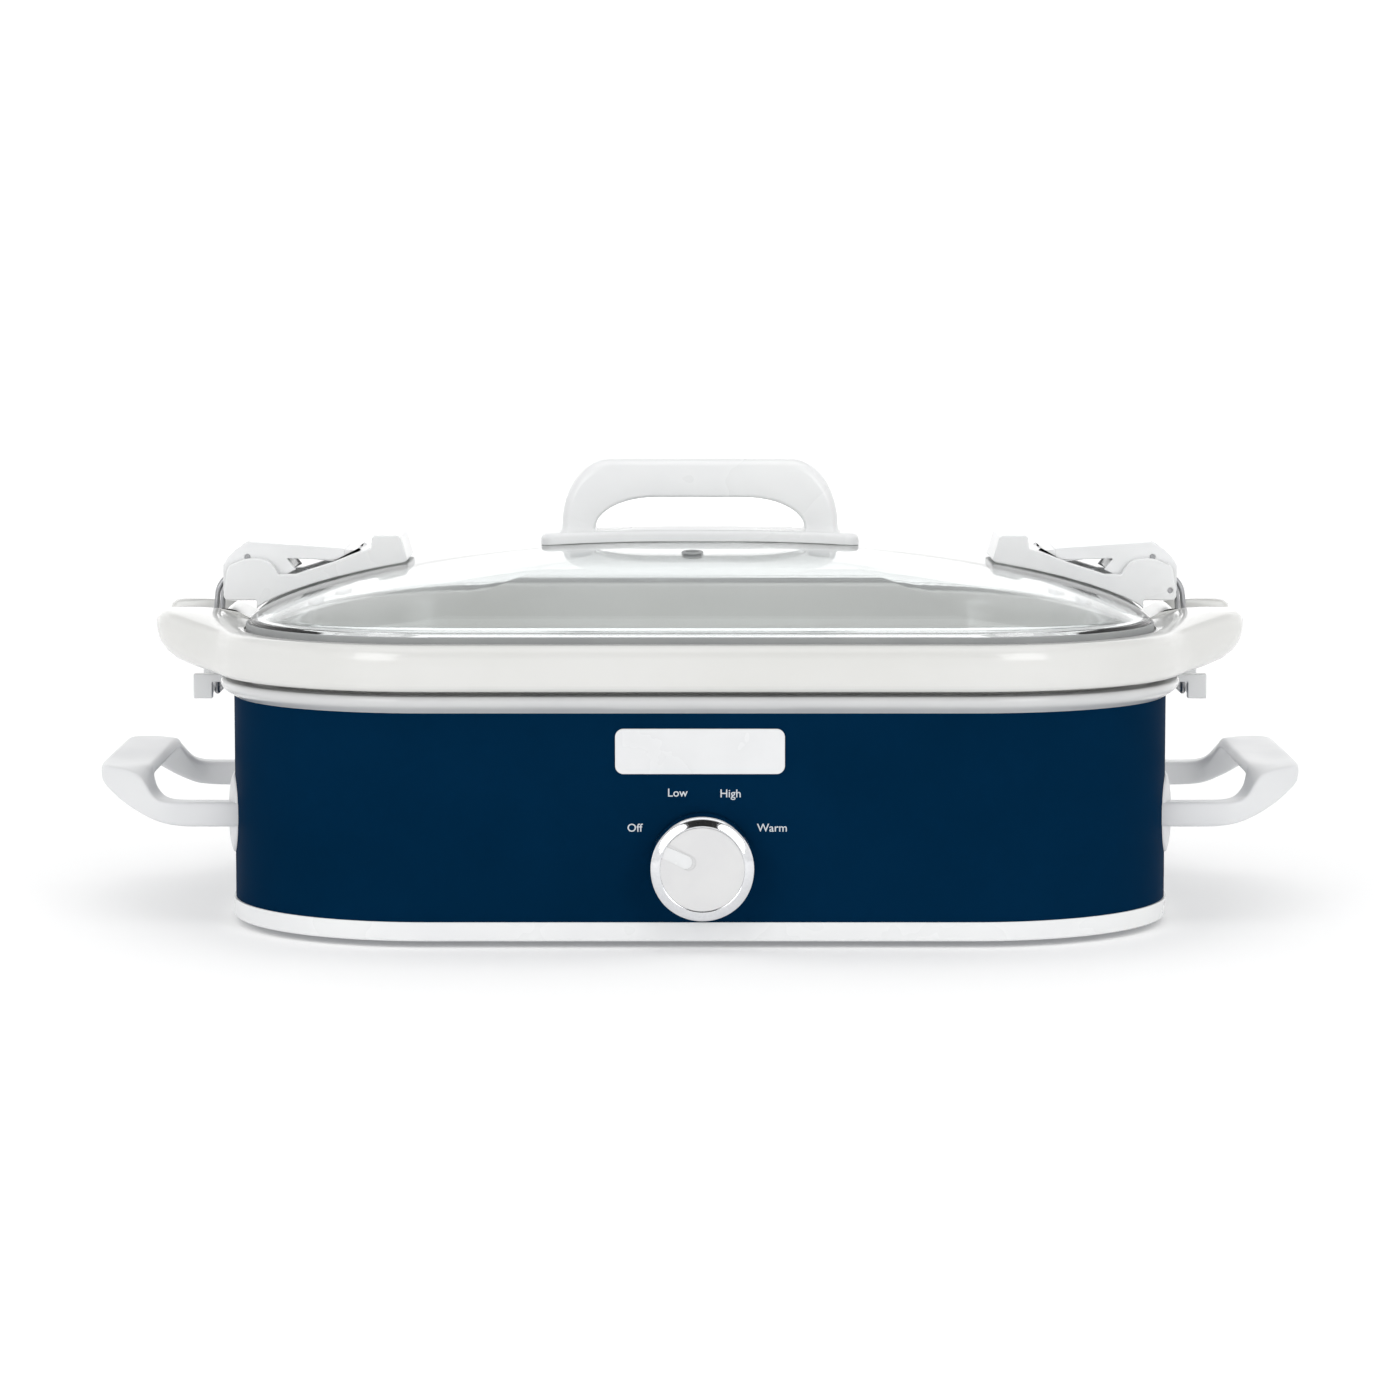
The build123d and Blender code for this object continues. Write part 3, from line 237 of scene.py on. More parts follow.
# %% Lights
def area_light(name, location, target, size, power):
    """A soft rectangular light that looks at a target."""
    data = bpy.data.lights.new(name, "AREA")
    data.shape = "RECTANGLE"
    data.size, data.size_y = size
    data.energy = power
    light = bpy.data.objects.new(name, data)
    scene.collection.objects.link(light)
    light.location = location
    direction = Vector(target) - Vector(location)
    light.rotation_euler = direction.to_track_quat("-Z", "Y").to_euler()


POT, WALL = (0.0, 0.0, 0.1), (0.0, 5.8, 0.9)
area_light("overhead_softbox", (0.0, -0.2, 2.3), POT, (2.6, 2.0), 10.0)
area_light("front_left_softbox", (-1.5, -2.6, 1.2), POT, (1.2, 1.6), 17.5)
area_light("front_right_softbox", (1.5, -2.6, 1.2), POT, (1.2, 1.6), 17.5)
area_light("wall_softbox", (0.0, 2.2, 1.9), WALL, (4.5, 1.2), 62.0)
world = bpy.data.worlds.new("studio")
scene.world = world
world.use_nodes = True
world.node_tree.nodes["Background"].inputs["Color"].default_value = WHITE
world.node_tree.nodes["Background"].inputs["Strength"].default_value = 0.73
scene.view_settings.view_transform = "Standard"

# %% [markdown]
# ## Shared helpers: outlines that are rounded rectangles
# Almost everything on this cooker is a rounded rectangle seen from above. A round pot would be
# spun round its axis. Here one rounded loop is made by bevelling a square's corners, and then it is
# extruded again and again: every point of the new loop slides out from the middle of its corner,
# so the loops stay parallel and the faces between them stay clean.

# %% Rounded loops
BODY_LENGTH, BODY_DEPTH, CORNER = 378.0, 273.0, 82.0
CORNER_STEPS = 20


def body(inset, z):
    """An outline that follows the body, set in from the shell: length, depth, corner and height."""
    return (BODY_LENGTH - 2 * inset, BODY_DEPTH - 2 * inset, CORNER - inset, z)


def rounded_loop(bm, outline, steps=CORNER_STEPS):
    """A level rounded rectangle of edges. Returns them."""
    length, depth, radius, z = outline
    square = rectangle(bm, length * MM, depth * MM)
    bmesh.ops.translate(bm, vec=(0.0, 0.0, z * MM), verts=square)
    eased(bm, square, radius * MM, steps, "VERTICES")
    return opened(bm)


def slide(vert, start, end):
    """Moves a point of one outline to the same place on another."""
    for axis in (0, 1):
        side = math.copysign(1.0, vert.co[axis])
        middle = (start[axis] / 2 - start[2]) * MM
        share = (abs(vert.co[axis]) - middle) / (start[2] * MM)
        vert.co[axis] = side * ((end[axis] / 2 - end[2]) + share * end[2]) * MM
    vert.co.z = end[3] * MM


def stacked(bm, outlines, closed=False, capped=False, steps=CORNER_STEPS):
    """Extrudes one rounded loop through all the outlines."""
    edges = rounded_loop(bm, outlines[0], steps)
    if capped:
        bmesh.ops.contextual_create(bm, geom=edges)
    for start, end in zip(outlines, outlines[1:] + (outlines[:1] if closed else [])):
        edges, beside = grown(bm, edges)
        for vert in beside.values():
            slide(vert, start, end)
    if capped:
        bmesh.ops.contextual_create(bm, geom=edges)
    merged(bm, 1e-7)
    outward(bm)
    return bm


probe = stacked(bmesh.new(), [body(0.0, 10.0), body(0.0, 90.0)])
centre_x, centre_y = (BODY_LENGTH / 2 - CORNER) * MM, (BODY_DEPTH / 2 - CORNER) * MM
corners = [v.co for v in probe.verts if v.co.x > centre_x + 1e-4 and v.co.y > centre_y + 1e-4]
reach = [math.hypot(v.x - centre_x, v.y - centre_y) for v in corners]
print("points:", len(probe.verts), "corner radius:", round(min(reach), 4), "to", round(max(reach), 4))
probe.free()

# %% [markdown]
# ## Finishes shared by many pieces
# Moulded plastic, paint and stoneware are never one flat colour: the gloss wanders a little and the
# skin has a fine texture. Node groups hold those effects once, and every material places the group
# with its own values. Each group reads Object coordinates, so a pattern has one scale everywhere.

# %% A helper for node groups
def shader_group(name, inputs, outputs):
    """An empty shader node group. Returns its tree, its input node and its output node.

    What an input is follows from its first value: a number, a vector of three or a colour of four.
    """
    tree = bpy.data.node_groups.new(name, "ShaderNodeTree")
    for label, value in inputs.items():
        kind = {3: "Vector", 4: "Color"}[len(value)] if isinstance(value, tuple) else "Float"
        socket = tree.interface.new_socket(name=label, in_out="INPUT", socket_type="NodeSocket" + kind)
        socket.default_value = value
    for label in outputs:
        kind = "Color" if label == "Color" else "Float"
        tree.interface.new_socket(name=label, in_out="OUTPUT", socket_type="NodeSocket" + kind)
    return tree, tree.nodes.new("NodeGroupInput"), tree.nodes.new("NodeGroupOutput")


def feed(tree, value, socket):
    """Sets a socket to a number or a colour, or links another socket to it."""
    if isinstance(value, (int, float, tuple)):
        socket.default_value = value
    else:
        tree.links.new(value, socket)


def placed(tree, kind, inputs, **settings):
    """A shader node with its settings, and a value or a socket on each of its inputs."""
    node = tree.nodes.new("ShaderNode" + kind)
    for label, value in settings.items():
        setattr(node, label, value)
    for label, value in inputs.items():
        feed(tree, value, node.inputs[label])
    return node


def noise(tree, vector, scale, detail, roughness=0.5):
    """A noise texture on a vector socket."""
    inputs = {"Vector": vector, "Scale": scale, "Detail": detail, "Roughness": roughness}
    return placed(tree, "TexNoise", inputs).outputs["Fac"]


def spread(tree, value, low, high, start=0.22, end=0.78):
    """Maps a value smoothly from start..end to low..high, each a number or a socket."""
    inputs = {"Value": value, "From Min": start, "From Max": end, "To Min": low, "To Max": high}
    return placed(tree, "MapRange", inputs, interpolation_type="SMOOTHSTEP").outputs["Result"]


def blended(tree, factor, first, second):
    """A colour mix by a factor socket."""
    return placed(tree, "Mix", {"Factor": factor, 6: first, 7: second}, data_type="RGBA").outputs[2]


def own_place(tree):
    """The place of a point in its object, so that a pattern has one scale everywhere."""
    return placed(tree, "TexCoord", {}).outputs["Object"]


def stretched(tree, vector, by):
    """A vector socket times another one."""
    return placed(tree, "VectorMath", {0: vector, 1: by}, operation="MULTIPLY").outputs["Vector"]


def put_out(tree, result, sockets):
    """Links what a group has made to its outputs."""
    for label, socket in sockets.items():
        tree.links.new(socket, result.inputs[label])
    print("group:", tree.name, len(tree.nodes), "nodes")


print("helpers ready")

# %% The skin of moulded, painted and glazed pieces
skin_group, given, result = shader_group(
    "moulded_skin",
    {"Tone": WHITE, "Second Tone": WHITE, "Cloud Scale": 30.0, "Grain Scale": 900.0,
     "Smoothest": 0.2, "Roughest": 0.3},
    ("Color", "Roughness", "Height"),
)
from_input = given.outputs
place = own_place(skin_group)
clouds = noise(skin_group, place, from_input["Cloud Scale"], 3.0)
grain = noise(skin_group, place, from_input["Grain Scale"], 4.0, 0.6)
share = spread(skin_group, clouds, 0.0, 1.0)
colour = blended(skin_group, share, from_input["Tone"], from_input["Second Tone"])
gloss = spread(skin_group, clouds, from_input["Smoothest"], from_input["Roughest"])
put_out(skin_group, result, {"Color": colour, "Roughness": gloss, "Height": grain})

# %% [markdown]
# Drawn wire, turned shafts and rolled sheet carry fine parallel lines from the tool. Noise that is
# stretched hard along one direction gives such lines, and the stretch is an input of the group.

# %% Tool lines on bare metal
line_group, given, result = shader_group(
    "tool_lines",
    {"Tone": WHITE, "Line Tone": WHITE, "Stretch": (1.0, 1.0, 1.0), "Smoothest": 0.2, "Roughest": 0.4},
    ("Color", "Roughness", "Height"),
)
from_input = given.outputs
place = own_place(line_group)
lines = noise(line_group, stretched(line_group, place, from_input["Stretch"]), 1.0, 6.0, 0.65)
smudges = noise(line_group, place, 45.0, 3.0)
share = spread(line_group, lines, 0.0, 1.0)
colour = blended(line_group, share, from_input["Tone"], from_input["Line Tone"])
gloss = spread(line_group, smudges, from_input["Smoothest"], from_input["Roughest"])
put_out(line_group, result, {"Color": colour, "Roughness": gloss, "Height": lines})

# %% [markdown]
# Mica board and the mineral blanket have flakes and fibres. A Voronoi texture breaks the space into
# small cells, and its random cell value chooses between two tones.

# %% Flakes and fibres
flake_group, given, result = shader_group(
    "flakes",
    {"Tone": WHITE, "Flake Tone": WHITE, "Flake Scale": 600.0, "Stretch": (1.0, 1.0, 1.0)},
    ("Color", "Height"),
)
from_input = given.outputs
place = stretched(flake_group, own_place(flake_group), from_input["Stretch"])
cells = placed(flake_group, "TexVoronoi", {"Vector": place, "Scale": from_input["Flake Scale"]})
split = placed(flake_group, "SeparateColor", {"Color": cells.outputs["Color"]})
share = spread(flake_group, split.outputs["Red"], 0.0, 1.0, 0.2, 0.95)
colour = blended(flake_group, share, from_input["Tone"], from_input["Flake Tone"])
put_out(flake_group, result, {"Color": colour, "Height": cells.outputs["Distance"]})

# %% [markdown]
# ## Materials
# A helper starts a material, places one group in it and links what the group puts out. The values
# that are the same all over a surface, such as metallic or the clear coat, stay on the shader.

# %% A helper for materials
def tone(red, green, blue):
    """A colour for a socket from the 0 to 255 values of a colour picker."""
    def linear(value):
        value /= 255.0
        return value / 12.92 if value <= 0.04045 else ((value + 0.055) / 1.055) ** 2.4

    return (linear(red), linear(green), linear(blue), 1.0)


finishes = {}


def finish(name, group, settings, constants, bump, depth=0.0002):
    """A material from one group, plain shader constants and a bump of a given strength."""
    material = plain_material(name, constants)
    tree = material.node_tree
    shader = tree.nodes["Principled BSDF"]
    made = placed(tree, "Group", settings, node_tree=group).outputs
    tree.links.new(made["Color"], shader.inputs["Base Color"])
    if "Roughness" in made:
        tree.links.new(made["Roughness"], shader.inputs["Roughness"])
    relief = placed(tree, "Bump", {"Strength": bump, "Distance": depth, "Height": made["Height"]})
    tree.links.new(relief.outputs["Normal"], shader.inputs["Normal"])
    material.diffuse_color = shader.inputs["Base Color"].default_value
    finishes[name] = material


print("white in linear light:", [round(v, 3) for v in tone(236, 237, 237)[:3]])

# %% [markdown]
# Each row of the two tables below is one finish: its two tones, the scale of its pattern, the
# range of its gloss and the strength of its bump. Stoneware and glass also say how deep the bump is.

# %% Paint, plastic, stoneware, rubber and glass
SHINE, COAT, COAT_SHINE = "Specular IOR Level", "Coat Weight", "Coat Roughness"
SKINS = {  # tone, second tone, cloud and grain scale, smoothest and roughest, shader values, bump
    "navy_paint": (
        (1, 34, 60), (2, 37, 65), 18.0, 700.0, 0.4, 0.48, {"IOR": 1.2, SHINE: 0.01}, 0.05),
    "white_plastic": (
        (236, 237, 237), (231, 232, 233), 24.0, 1500.0, 0.24, 0.34,
        {SHINE: 0.5, COAT: 0.2, COAT_SHINE: 0.12}, 0.06),
    # A darker copy of white_plastic for the side handles and their pads: painted shade, because those faces
    # get less light than the front.
    "handle_plastic_painted_shade": (
        (222, 223, 224), (217, 218, 220), 24.0, 1500.0, 0.3, 0.42,
        {SHINE: 0.45, COAT: 0.1, COAT_SHINE: 0.2}, 0.06),
    "ring_enamel": (
        (206, 207, 207), (199, 200, 201), 20.0, 900.0, 0.18, 0.26,
        {COAT: 0.5, COAT_SHINE: 0.06}, 0.04),
    "plate_enamel": (
        (227, 228, 229), (223, 224, 225), 60.0, 1200.0, 0.22, 0.3,
        {COAT: 0.4, COAT_SHINE: 0.08}, 0.04),
    "crock_glaze": (
        (219, 219, 217), (214, 214, 211), 16.0, 260.0, 0.1, 0.2,
        {COAT: 0.35, COAT_SHINE: 0.06, SHINE: 0.45}, 0.06, 0.0004),
    "gasket_silicone": (
        (158, 160, 160), (148, 150, 151), 40.0, 1600.0, 0.4, 0.52, {SHINE: 0.4}, 0.1),
    "dial_silver": ((218, 218, 218), (213, 213, 214), 70.0, 2600.0, 0.3, 0.4, {SHINE: 0.5}, 0.08),
    "print_ink": ((206, 211, 216), (196, 202, 208), 300.0, 4000.0, 0.45, 0.6, {}, 0.05),
    "foot_rubber": ((44, 44, 46), (58, 58, 60), 90.0, 2400.0, 0.6, 0.78, {}, 0.25),
    "black_plastic": ((34, 34, 36), (44, 44, 46), 60.0, 2000.0, 0.35, 0.5, {}, 0.15),
    "switch_plastic": ((226, 220, 204), (216, 209, 192), 90.0, 1800.0, 0.4, 0.55, {}, 0.15),
    "lead_sleeve": ((214, 206, 190), (196, 186, 166), 160.0, 4000.0, 0.55, 0.7, {}, 0.4),
    "lid_glass_clear": (
        (246, 248, 248), (243, 246, 246), 12.0, 30.0, 0.01, 0.03,
        {"Transmission Weight": 1.0, "IOR": 1.5}, 0.02, 0.0001),
}
for name, (first, second, clouds, grain, smoothest, roughest, constants, *bump) in SKINS.items():
    finish(name, skin_group, {
        "Tone": tone(*first), "Second Tone": tone(*second), "Cloud Scale": clouds,
        "Grain Scale": grain, "Smoothest": smoothest, "Roughest": roughest,
    }, constants, *bump)
print("skins:", list(finishes))

# %% Metals
METALS = {  # tone, line tone, stretch, smoothest, roughest, bump
    "polished_chrome": ((232, 233, 235), (222, 223, 226), (900.0, 60.0, 900.0), 0.07, 0.12, 0.02),
    "bright_wire": ((178, 179, 181), (152, 153, 156), (2600.0, 2600.0, 160.0), 0.24, 0.38, 0.12),
    "zinc_steel": ((196, 199, 203), (172, 176, 182), (30.0, 1200.0, 1200.0), 0.3, 0.5, 0.1),
    "well_aluminium": ((206, 207, 208), (186, 187, 190), (220.0, 220.0, 1500.0), 0.34, 0.5, 0.1),
    "turned_steel": ((190, 190, 192), (150, 150, 154), (500.0, 2600.0, 500.0), 0.22, 0.36, 0.15),
}
for name, (first, second, stretch, smoothest, roughest, bump) in METALS.items():
    finish(name, line_group, {
        "Tone": tone(*first), "Line Tone": tone(*second), "Stretch": stretch,
        "Smoothest": smoothest, "Roughest": roughest,
    }, {"Metallic": 1.0}, bump)
print("metals:", list(METALS))

# %% Board and blanket
finish(
    "mica_board", flake_group,
    {"Tone": tone(150, 134, 106), "Flake Tone": tone(192, 174, 140), "Flake Scale": 500.0},
    {"Roughness": 0.55, SHINE: 0.4}, 0.3,
)
finish(
    "mineral_blanket", flake_group,
    {"Tone": tone(236, 230, 212), "Flake Tone": tone(214, 206, 184), "Flake Scale": 700.0,
     "Stretch": (0.3, 0.3, 1.0)},
    {"Roughness": 0.95, SHINE: 0.2, "Sheen Weight": 0.3}, 0.7, 0.0006,
)
print("finishes:", len(finishes))

# %% [markdown]
# A renderer treats clear glass as solid when it works out shadows, and the crock under the lid
# would be lit by nothing. The Light Path node tells a shadow ray from every other one, and for those
# rays alone the glass is swapped for a Transparent shader, so that the lamps reach the inside.

# %% Lamps through the lid
glass_tree = finishes["lid_glass_clear"].node_tree
clear = placed(glass_tree, "BsdfTransparent", {"Color": (0.99, 1.0, 1.0, 1.0)})
swap = placed(glass_tree, "MixShader", {
    "Fac": placed(glass_tree, "LightPath", {}).outputs["Is Shadow Ray"],
    1: glass_tree.nodes["Principled BSDF"].outputs["BSDF"],
    2: clear.outputs["BSDF"],
})
feed(glass_tree, swap.outputs["Shader"], glass_tree.nodes["Material Output"].inputs["Surface"])
print("glass nodes:", len(glass_tree.nodes))

# %% [markdown]
# ## Finishes of the construction pieces
# Every piece of the construction model gets its finish. Most keep their mesh. Those that need a
# softer form are rebuilt in the cells further down, with the same finish.

# %% Which finish goes on which piece
DRESSED = {
    "navy_paint": "outer_shell",
    "white_plastic": "base_trim lid_handle",
    "zinc_steel": "bottom_plate bottom_screws centre_standoff centre_screw fuse_clip switch_nut "
                  "handle_screws catch_rivets lid_handle_screws latch_screws latch_nuts",
    "foot_rubber": "rubber_feet",
    "ring_enamel": "rim_ring",
    "well_aluminium": "heating_well",
    "mica_board": "heater_band",
    "mineral_blanket": "insulation_blanket",
    "turned_steel": "thermal_fuse switch_shaft",
    "switch_plastic": "rotary_switch terminal_block",
    "polished_chrome": "knob_body",
    "dial_silver": "knob_face",
    "plate_enamel": "name_plate",
    "black_plastic": "cord_gland",
    "lead_sleeve": "internal_leads",
    "crock_glaze": "crock",
    "lid_glass_clear": "lid_glass",
    "gasket_silicone": "lid_gasket lid_handle_washers steam_vent",
}
DRESSED_PAIRS = {
    "white_plastic": "side_handle handle_pad latch_catch latch_bracket latch_lever",
    "turned_steel": "lever_pin",
    "bright_wire": "wire_bail",
}
finish_of = {piece: finish_name for finish_name, pieces in DRESSED.items() for piece in pieces.split()}
for finish_name, pairs in DRESSED_PAIRS.items():
    finish_of.update({f"{pair}_{side}": finish_name for pair in pairs.split() for side in SIDES})
for name, finish_name in finish_of.items():
    mesh = nodes[name].data
    mesh.materials.clear()
    mesh.materials.append(finishes[finish_name])
print("finished:", len(finish_of), "of", len(nodes), "left:", sorted(set(nodes) - set(finish_of)))

# %% [markdown]
# ## The rim ring
# A pressed ring sits on the painted shell and carries the crock. Its outer edge flares out from
# the shell into a rolled bead, which is what catches the light under the crock. The ring is one
# closed stack of body loops: up the flare, round the bead, in over the top and back underneath.

# %% Rim ring
shell_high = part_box("outer_shell")[1].z / MM
ring_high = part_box("rim_ring")[1].z / MM
ring_section = [
    (0.1, shell_high), (0.0, shell_high + 0.1), (-0.9, shell_high + 0.7), (-2.4, shell_high + 1.5),
    (-3.8, shell_high + 2.5), (-4.8, shell_high + 3.5), (-5.35, shell_high + 4.6), (-5.4, shell_high + 5.6),
    (-5.0, shell_high + 6.4), (-4.3, ring_high - 0.1), (-3.6, ring_high), (9.0, ring_high),
    (9.3, ring_high - 0.3), (9.3, ring_high - 1.0), (9.0, ring_high - 1.2), (2.2, ring_high - 1.4),
    (1.4, shell_high + 3.0), (1.2, shell_high + 0.1),
]
ring_mesh = bmesh.new()
stacked(ring_mesh, [body(inset, z) for inset, z in ring_section], closed=True)
rim_ring = new_object("rim_ring_bead", ring_mesh, finishes["ring_enamel"])
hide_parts("rim_ring")
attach(rim_ring, "base")
print("rim ring faces:", len(rim_ring.data.polygons))

# %% [markdown]
# ## The stoneware crock
# A glazed crock has no sharp edge anywhere. Its section runs from the foot, up the bowl, round the
# wide rim, over the ledge for the lid and down into the cavity. At both ends the rim swells into an
# ear, and a notch splits the ear where the latch wire passes. So the section is written three
# times, point by point: as the plain rim, as the ear and as the notch. The plain one is stacked
# all round, and then every point of the two ends moves towards the ear's or the notch's section.

# %% Three sections of the rim
rim_low = ring_high + 1.8
RIM = [  # plain rim, ear, notch: inset and height above the underside of the rim
    ((6.4, -1.8),) * 3,
    ((6.0, 0.0),) * 3,
    ((-3.0, 0.0),) * 3,
    ((-5.0, 0.1), (-9.0, 0.1), (-5.0, 0.1)),
    ((-6.5, 0.6), (-15.6, 0.5), (-6.5, 0.6)),
    ((-7.5, 1.7), (-21.4, 1.5), (-7.5, 1.7)),
    ((-7.9, 3.2), (-26.4, 3.5), (-7.9, 3.2)),
    ((-8.0, 6.4), (-30.2, 6.4), (-8.0, 7.6)),
    ((-8.0, 9.8), (-32.8, 10.0), (-8.0, 12.6)),
    ((-7.9, 13.0), (-34.1, 14.2), (-8.0, 17.4)),
    ((-7.4, 15.4), (-34.4, 18.4), (-7.8, 20.4)),
    ((-6.4, 17.0), (-33.8, 20.9), (-7.1, 21.8)),
    ((-5.0, 17.9), (-31.8, 22.5), (-6.0, 22.3)),
    ((-3.4, 18.15), (-29.0, 23.1), (-4.6, 22.1)),
    ((-1.6, 18.2), (-20.5, 23.2), (-2.8, 21.6)),
    ((0.2, 18.2), (-11.0, 22.8), (-1.0, 20.8)),
    ((1.8, 18.2), (-4.6, 20.8), (1.0, 19.6)),
    ((3.2, 18.1), (1.0, 18.8), (3.0, 18.5)),
    ((4.0, 17.7), (4.0, 17.8), (4.0, 17.7)),
    ((4.2, 16.6),) * 3,
]
EAR_ROOT, EAR_FULL, EAR_REACH, NOTCH, NOTCH_ROUND = 84.0, 28.0, 26.5, 20.0, 3.0


def ear_share(y):
    """How far the rim has swelled into the ear, from 0 at its root to 1."""
    t = min(1.0, max(0.0, (EAR_ROOT - abs(y)) / (EAR_ROOT - EAR_FULL)))
    return t * t * (3 - 2 * t)


def lobe_share(y):
    """1 outside the notch, rounding off towards its wall, and 0 inside it."""
    if abs(y) <= NOTCH:
        return 0.0
    short = max(0.0, NOTCH + NOTCH_ROUND - abs(y))
    return 1.0 - (NOTCH_ROUND - math.sqrt(max(0.0, NOTCH_ROUND**2 - short**2))) / EAR_REACH


print("ear share at 60 mm:", round(ear_share(60.0), 2), "lobe share at 21 mm:", round(lobe_share(21.0), 2))

# %% Crock
bowl_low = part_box("crock")[0].z / MM
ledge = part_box("lid_gasket")[0].z / MM
foot = [(34.0, bowl_low + 1.2), (32.0, bowl_low + 1.2), (30.5, bowl_low), (28.5, bowl_low)]
foot += [
    (28.5 - 10 * math.sin(a), bowl_low + 10 - 10 * math.cos(a))
    for a in [math.radians(15 * n) for n in range(1, 7)]
]
bowl = [(15.5, bowl_low + 26.0), (12.7, rim_low - 4.0), (11.8, rim_low - 2.4), (9.6, rim_low - 1.8)]
cavity = [(5.0, ledge), (17.6, ledge), (19.0, ledge - 0.4), (19.8, ledge - 1.6), (20.6, ledge - 8.0)]
cavity += [(22.4, 94.0)]
cavity += [
    (38.2 - 14 * math.cos(a), 81.0 - 14 * math.sin(a))
    for a in [math.radians(11.25 * n) for n in range(9)]
]
section = foot + bowl + [(inset, rim_low + z) for (inset, z), _, _ in RIM] + cavity
crock_mesh = bmesh.new()
stacked(crock_mesh, [body(inset, z) for inset, z in section], capped=True)
EAR_CUTS = (6.0, 14.0, 19.95, 20.05, 20.4, 21.0, 22.0, 23.2, 25.0, 28.0, 32.0, 36.0, 40.0, 44.0,
            48.0, 51.5)
for y in EAR_CUTS:
    for sign in (-1, 1):
        cut(crock_mesh, (0, sign * y * MM, 0), (0, 1, 0))


def inset_of(point):
    """How far a point lies inside the shell's outline, in millimetres."""
    past_x = abs(point.x) / MM - (BODY_LENGTH / 2 - CORNER)
    past_y = abs(point.y) / MM - (BODY_DEPTH / 2 - CORNER)
    if past_x > 0 and past_y > 0:
        return CORNER - math.hypot(past_x, past_y)
    return CORNER - max(past_x, past_y)


moved = 0
for vert in crock_mesh.verts:
    y = vert.co.y / MM
    share = ear_share(y)
    if share == 0.0 or abs(vert.co.x) < 0.15:
        continue
    inset, z = inset_of(vert.co), vert.co.z / MM - rim_low
    plain, ear, notch = min(RIM, key=lambda row: math.hypot(row[0][0] - inset, row[0][1] - z))
    if math.hypot(plain[0] - inset, plain[1] - z) > 0.05:
        continue
    lobe = lobe_share(y)
    out = lobe * (ear[0] - plain[0]) + (1 - lobe) * (notch[0] - plain[0])
    up = lobe * (ear[1] - plain[1]) + (1 - lobe) * (notch[1] - plain[1])
    vert.co.x -= share * out * MM * math.copysign(1.0, vert.co.x)
    vert.co.z += share * up * MM
    moved += 1
outward(crock_mesh)
crock = new_object("stoneware_crock", crock_mesh, finishes["crock_glaze"])
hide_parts("crock")
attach(crock, "crock")
print("crock faces:", len(crock.data.polygons), "points moved into the ears:", moved)

# %% [markdown]
# ## The domed glass lid
# Pressed glass is thickest and brightest at its edge, where the rim is ground round. The dome is a
# stack of outlines that shrink towards the middle while they rise, first steeply and then hardly at
# all. The inner face follows four millimetres below, so that light bends twice, as in real glass.

# %% Glass lid
GLASS_LENGTH, GLASS_DEPTH, GLASS_CORNER, RISE = 366.0, 261.0, 76.0, 27.5
glass_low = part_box("lid_glass")[0].z / MM


def dome_rise(share):
    """How high the dome stands at a share of the way from the middle to the edge."""
    return RISE * (1 - share**2.4) ** 0.76


def domed(share, inset, base):
    """One outline of the dome, at a share of the way from the middle to the edge."""
    length, depth, corner = GLASS_LENGTH - 2 * inset, GLASS_DEPTH - 2 * inset, GLASS_CORNER - inset
    return (length * share, depth * share, corner * share, base + dome_rise(share))


def lid_edge(inset, rise):
    """An outline of the lid's edge."""
    return (GLASS_LENGTH - 2 * inset, GLASS_DEPTH - 2 * inset, GLASS_CORNER - inset, glass_low + rise)


shares = [math.sin(math.radians(90 - 3.6 * n)) ** 0.8 for n in range(1, 25)]
glass_mesh = bmesh.new()
outlines = [domed(share, 6.0, glass_low) for share in reversed(shares)]
outlines += [lid_edge(*place) for place in (
    (6.3, 0.05), (5.9, 0.0), (0.8, 0.0), (0.2, 0.25), (0.0, 0.9), (0.0, 3.1), (0.25, 3.75), (0.9, 4.0),
)]
outlines += [domed(share, 0.8, glass_low + 4.0) for share in shares]
stacked(glass_mesh, outlines, capped=True)
glass = new_object("lid_glass_dome", glass_mesh, finishes["lid_glass_clear"])
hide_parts("lid_glass")
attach(glass, "lid")
heights = [round(corner.z, 4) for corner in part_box("lid_glass")]
print("glass faces:", len(glass.data.polygons), "over z", heights)

# %% [markdown]
# ## Sections swept along a path
# The arch of the lid handle changes its section on its way. So a rounded square is extruded from
# station to station. Every point keeps its place in the square, and each station says where the
# square's four corners go.

# %% Sweep
def section_loop(bm, low_rounding, high_rounding, steps):
    """The edges of a square of half size 1 with rounded corners, the low two and the high two."""
    square = rectangle(bm, 2.0, 2.0)
    low_two = [v for v in square if v.co.y < 0]
    high_two = [v for v in square if v.co.y > 0]
    eased(bm, low_two, low_rounding, steps, "VERTICES")
    eased(bm, high_two, high_rounding, steps, "VERTICES")
    return opened(bm)


def between(corners, u, v):
    """The point at (u, v) of a square with four corners, each share from -1 to 1."""
    low_left, low_right, high_right, high_left = corners
    right, high = (u + 1) / 2, (v + 1) / 2
    low = low_left.lerp(low_right, right)
    return low.lerp(high_left.lerp(high_right, right), high)


def swept(bm, stations, low, high, steps):
    """Extrudes a rounded square through stations of four corners each, and closes both ends."""
    edges = section_loop(bm, low, high, steps)
    shares = {vert: (vert.co.x, vert.co.y) for edge in edges for vert in edge.verts}
    for vert, (u, v) in shares.items():
        vert.co = between(stations[0], u, v)
    bmesh.ops.contextual_create(bm, geom=edges)
    for corners in stations[1:]:
        edges, beside = grown(bm, edges)
        for old, vert in beside.items():
            shares[vert] = shares[old]
            vert.co = between(corners, *shares[vert])
    bmesh.ops.contextual_create(bm, geom=edges)
    outward(bm)
    return bm


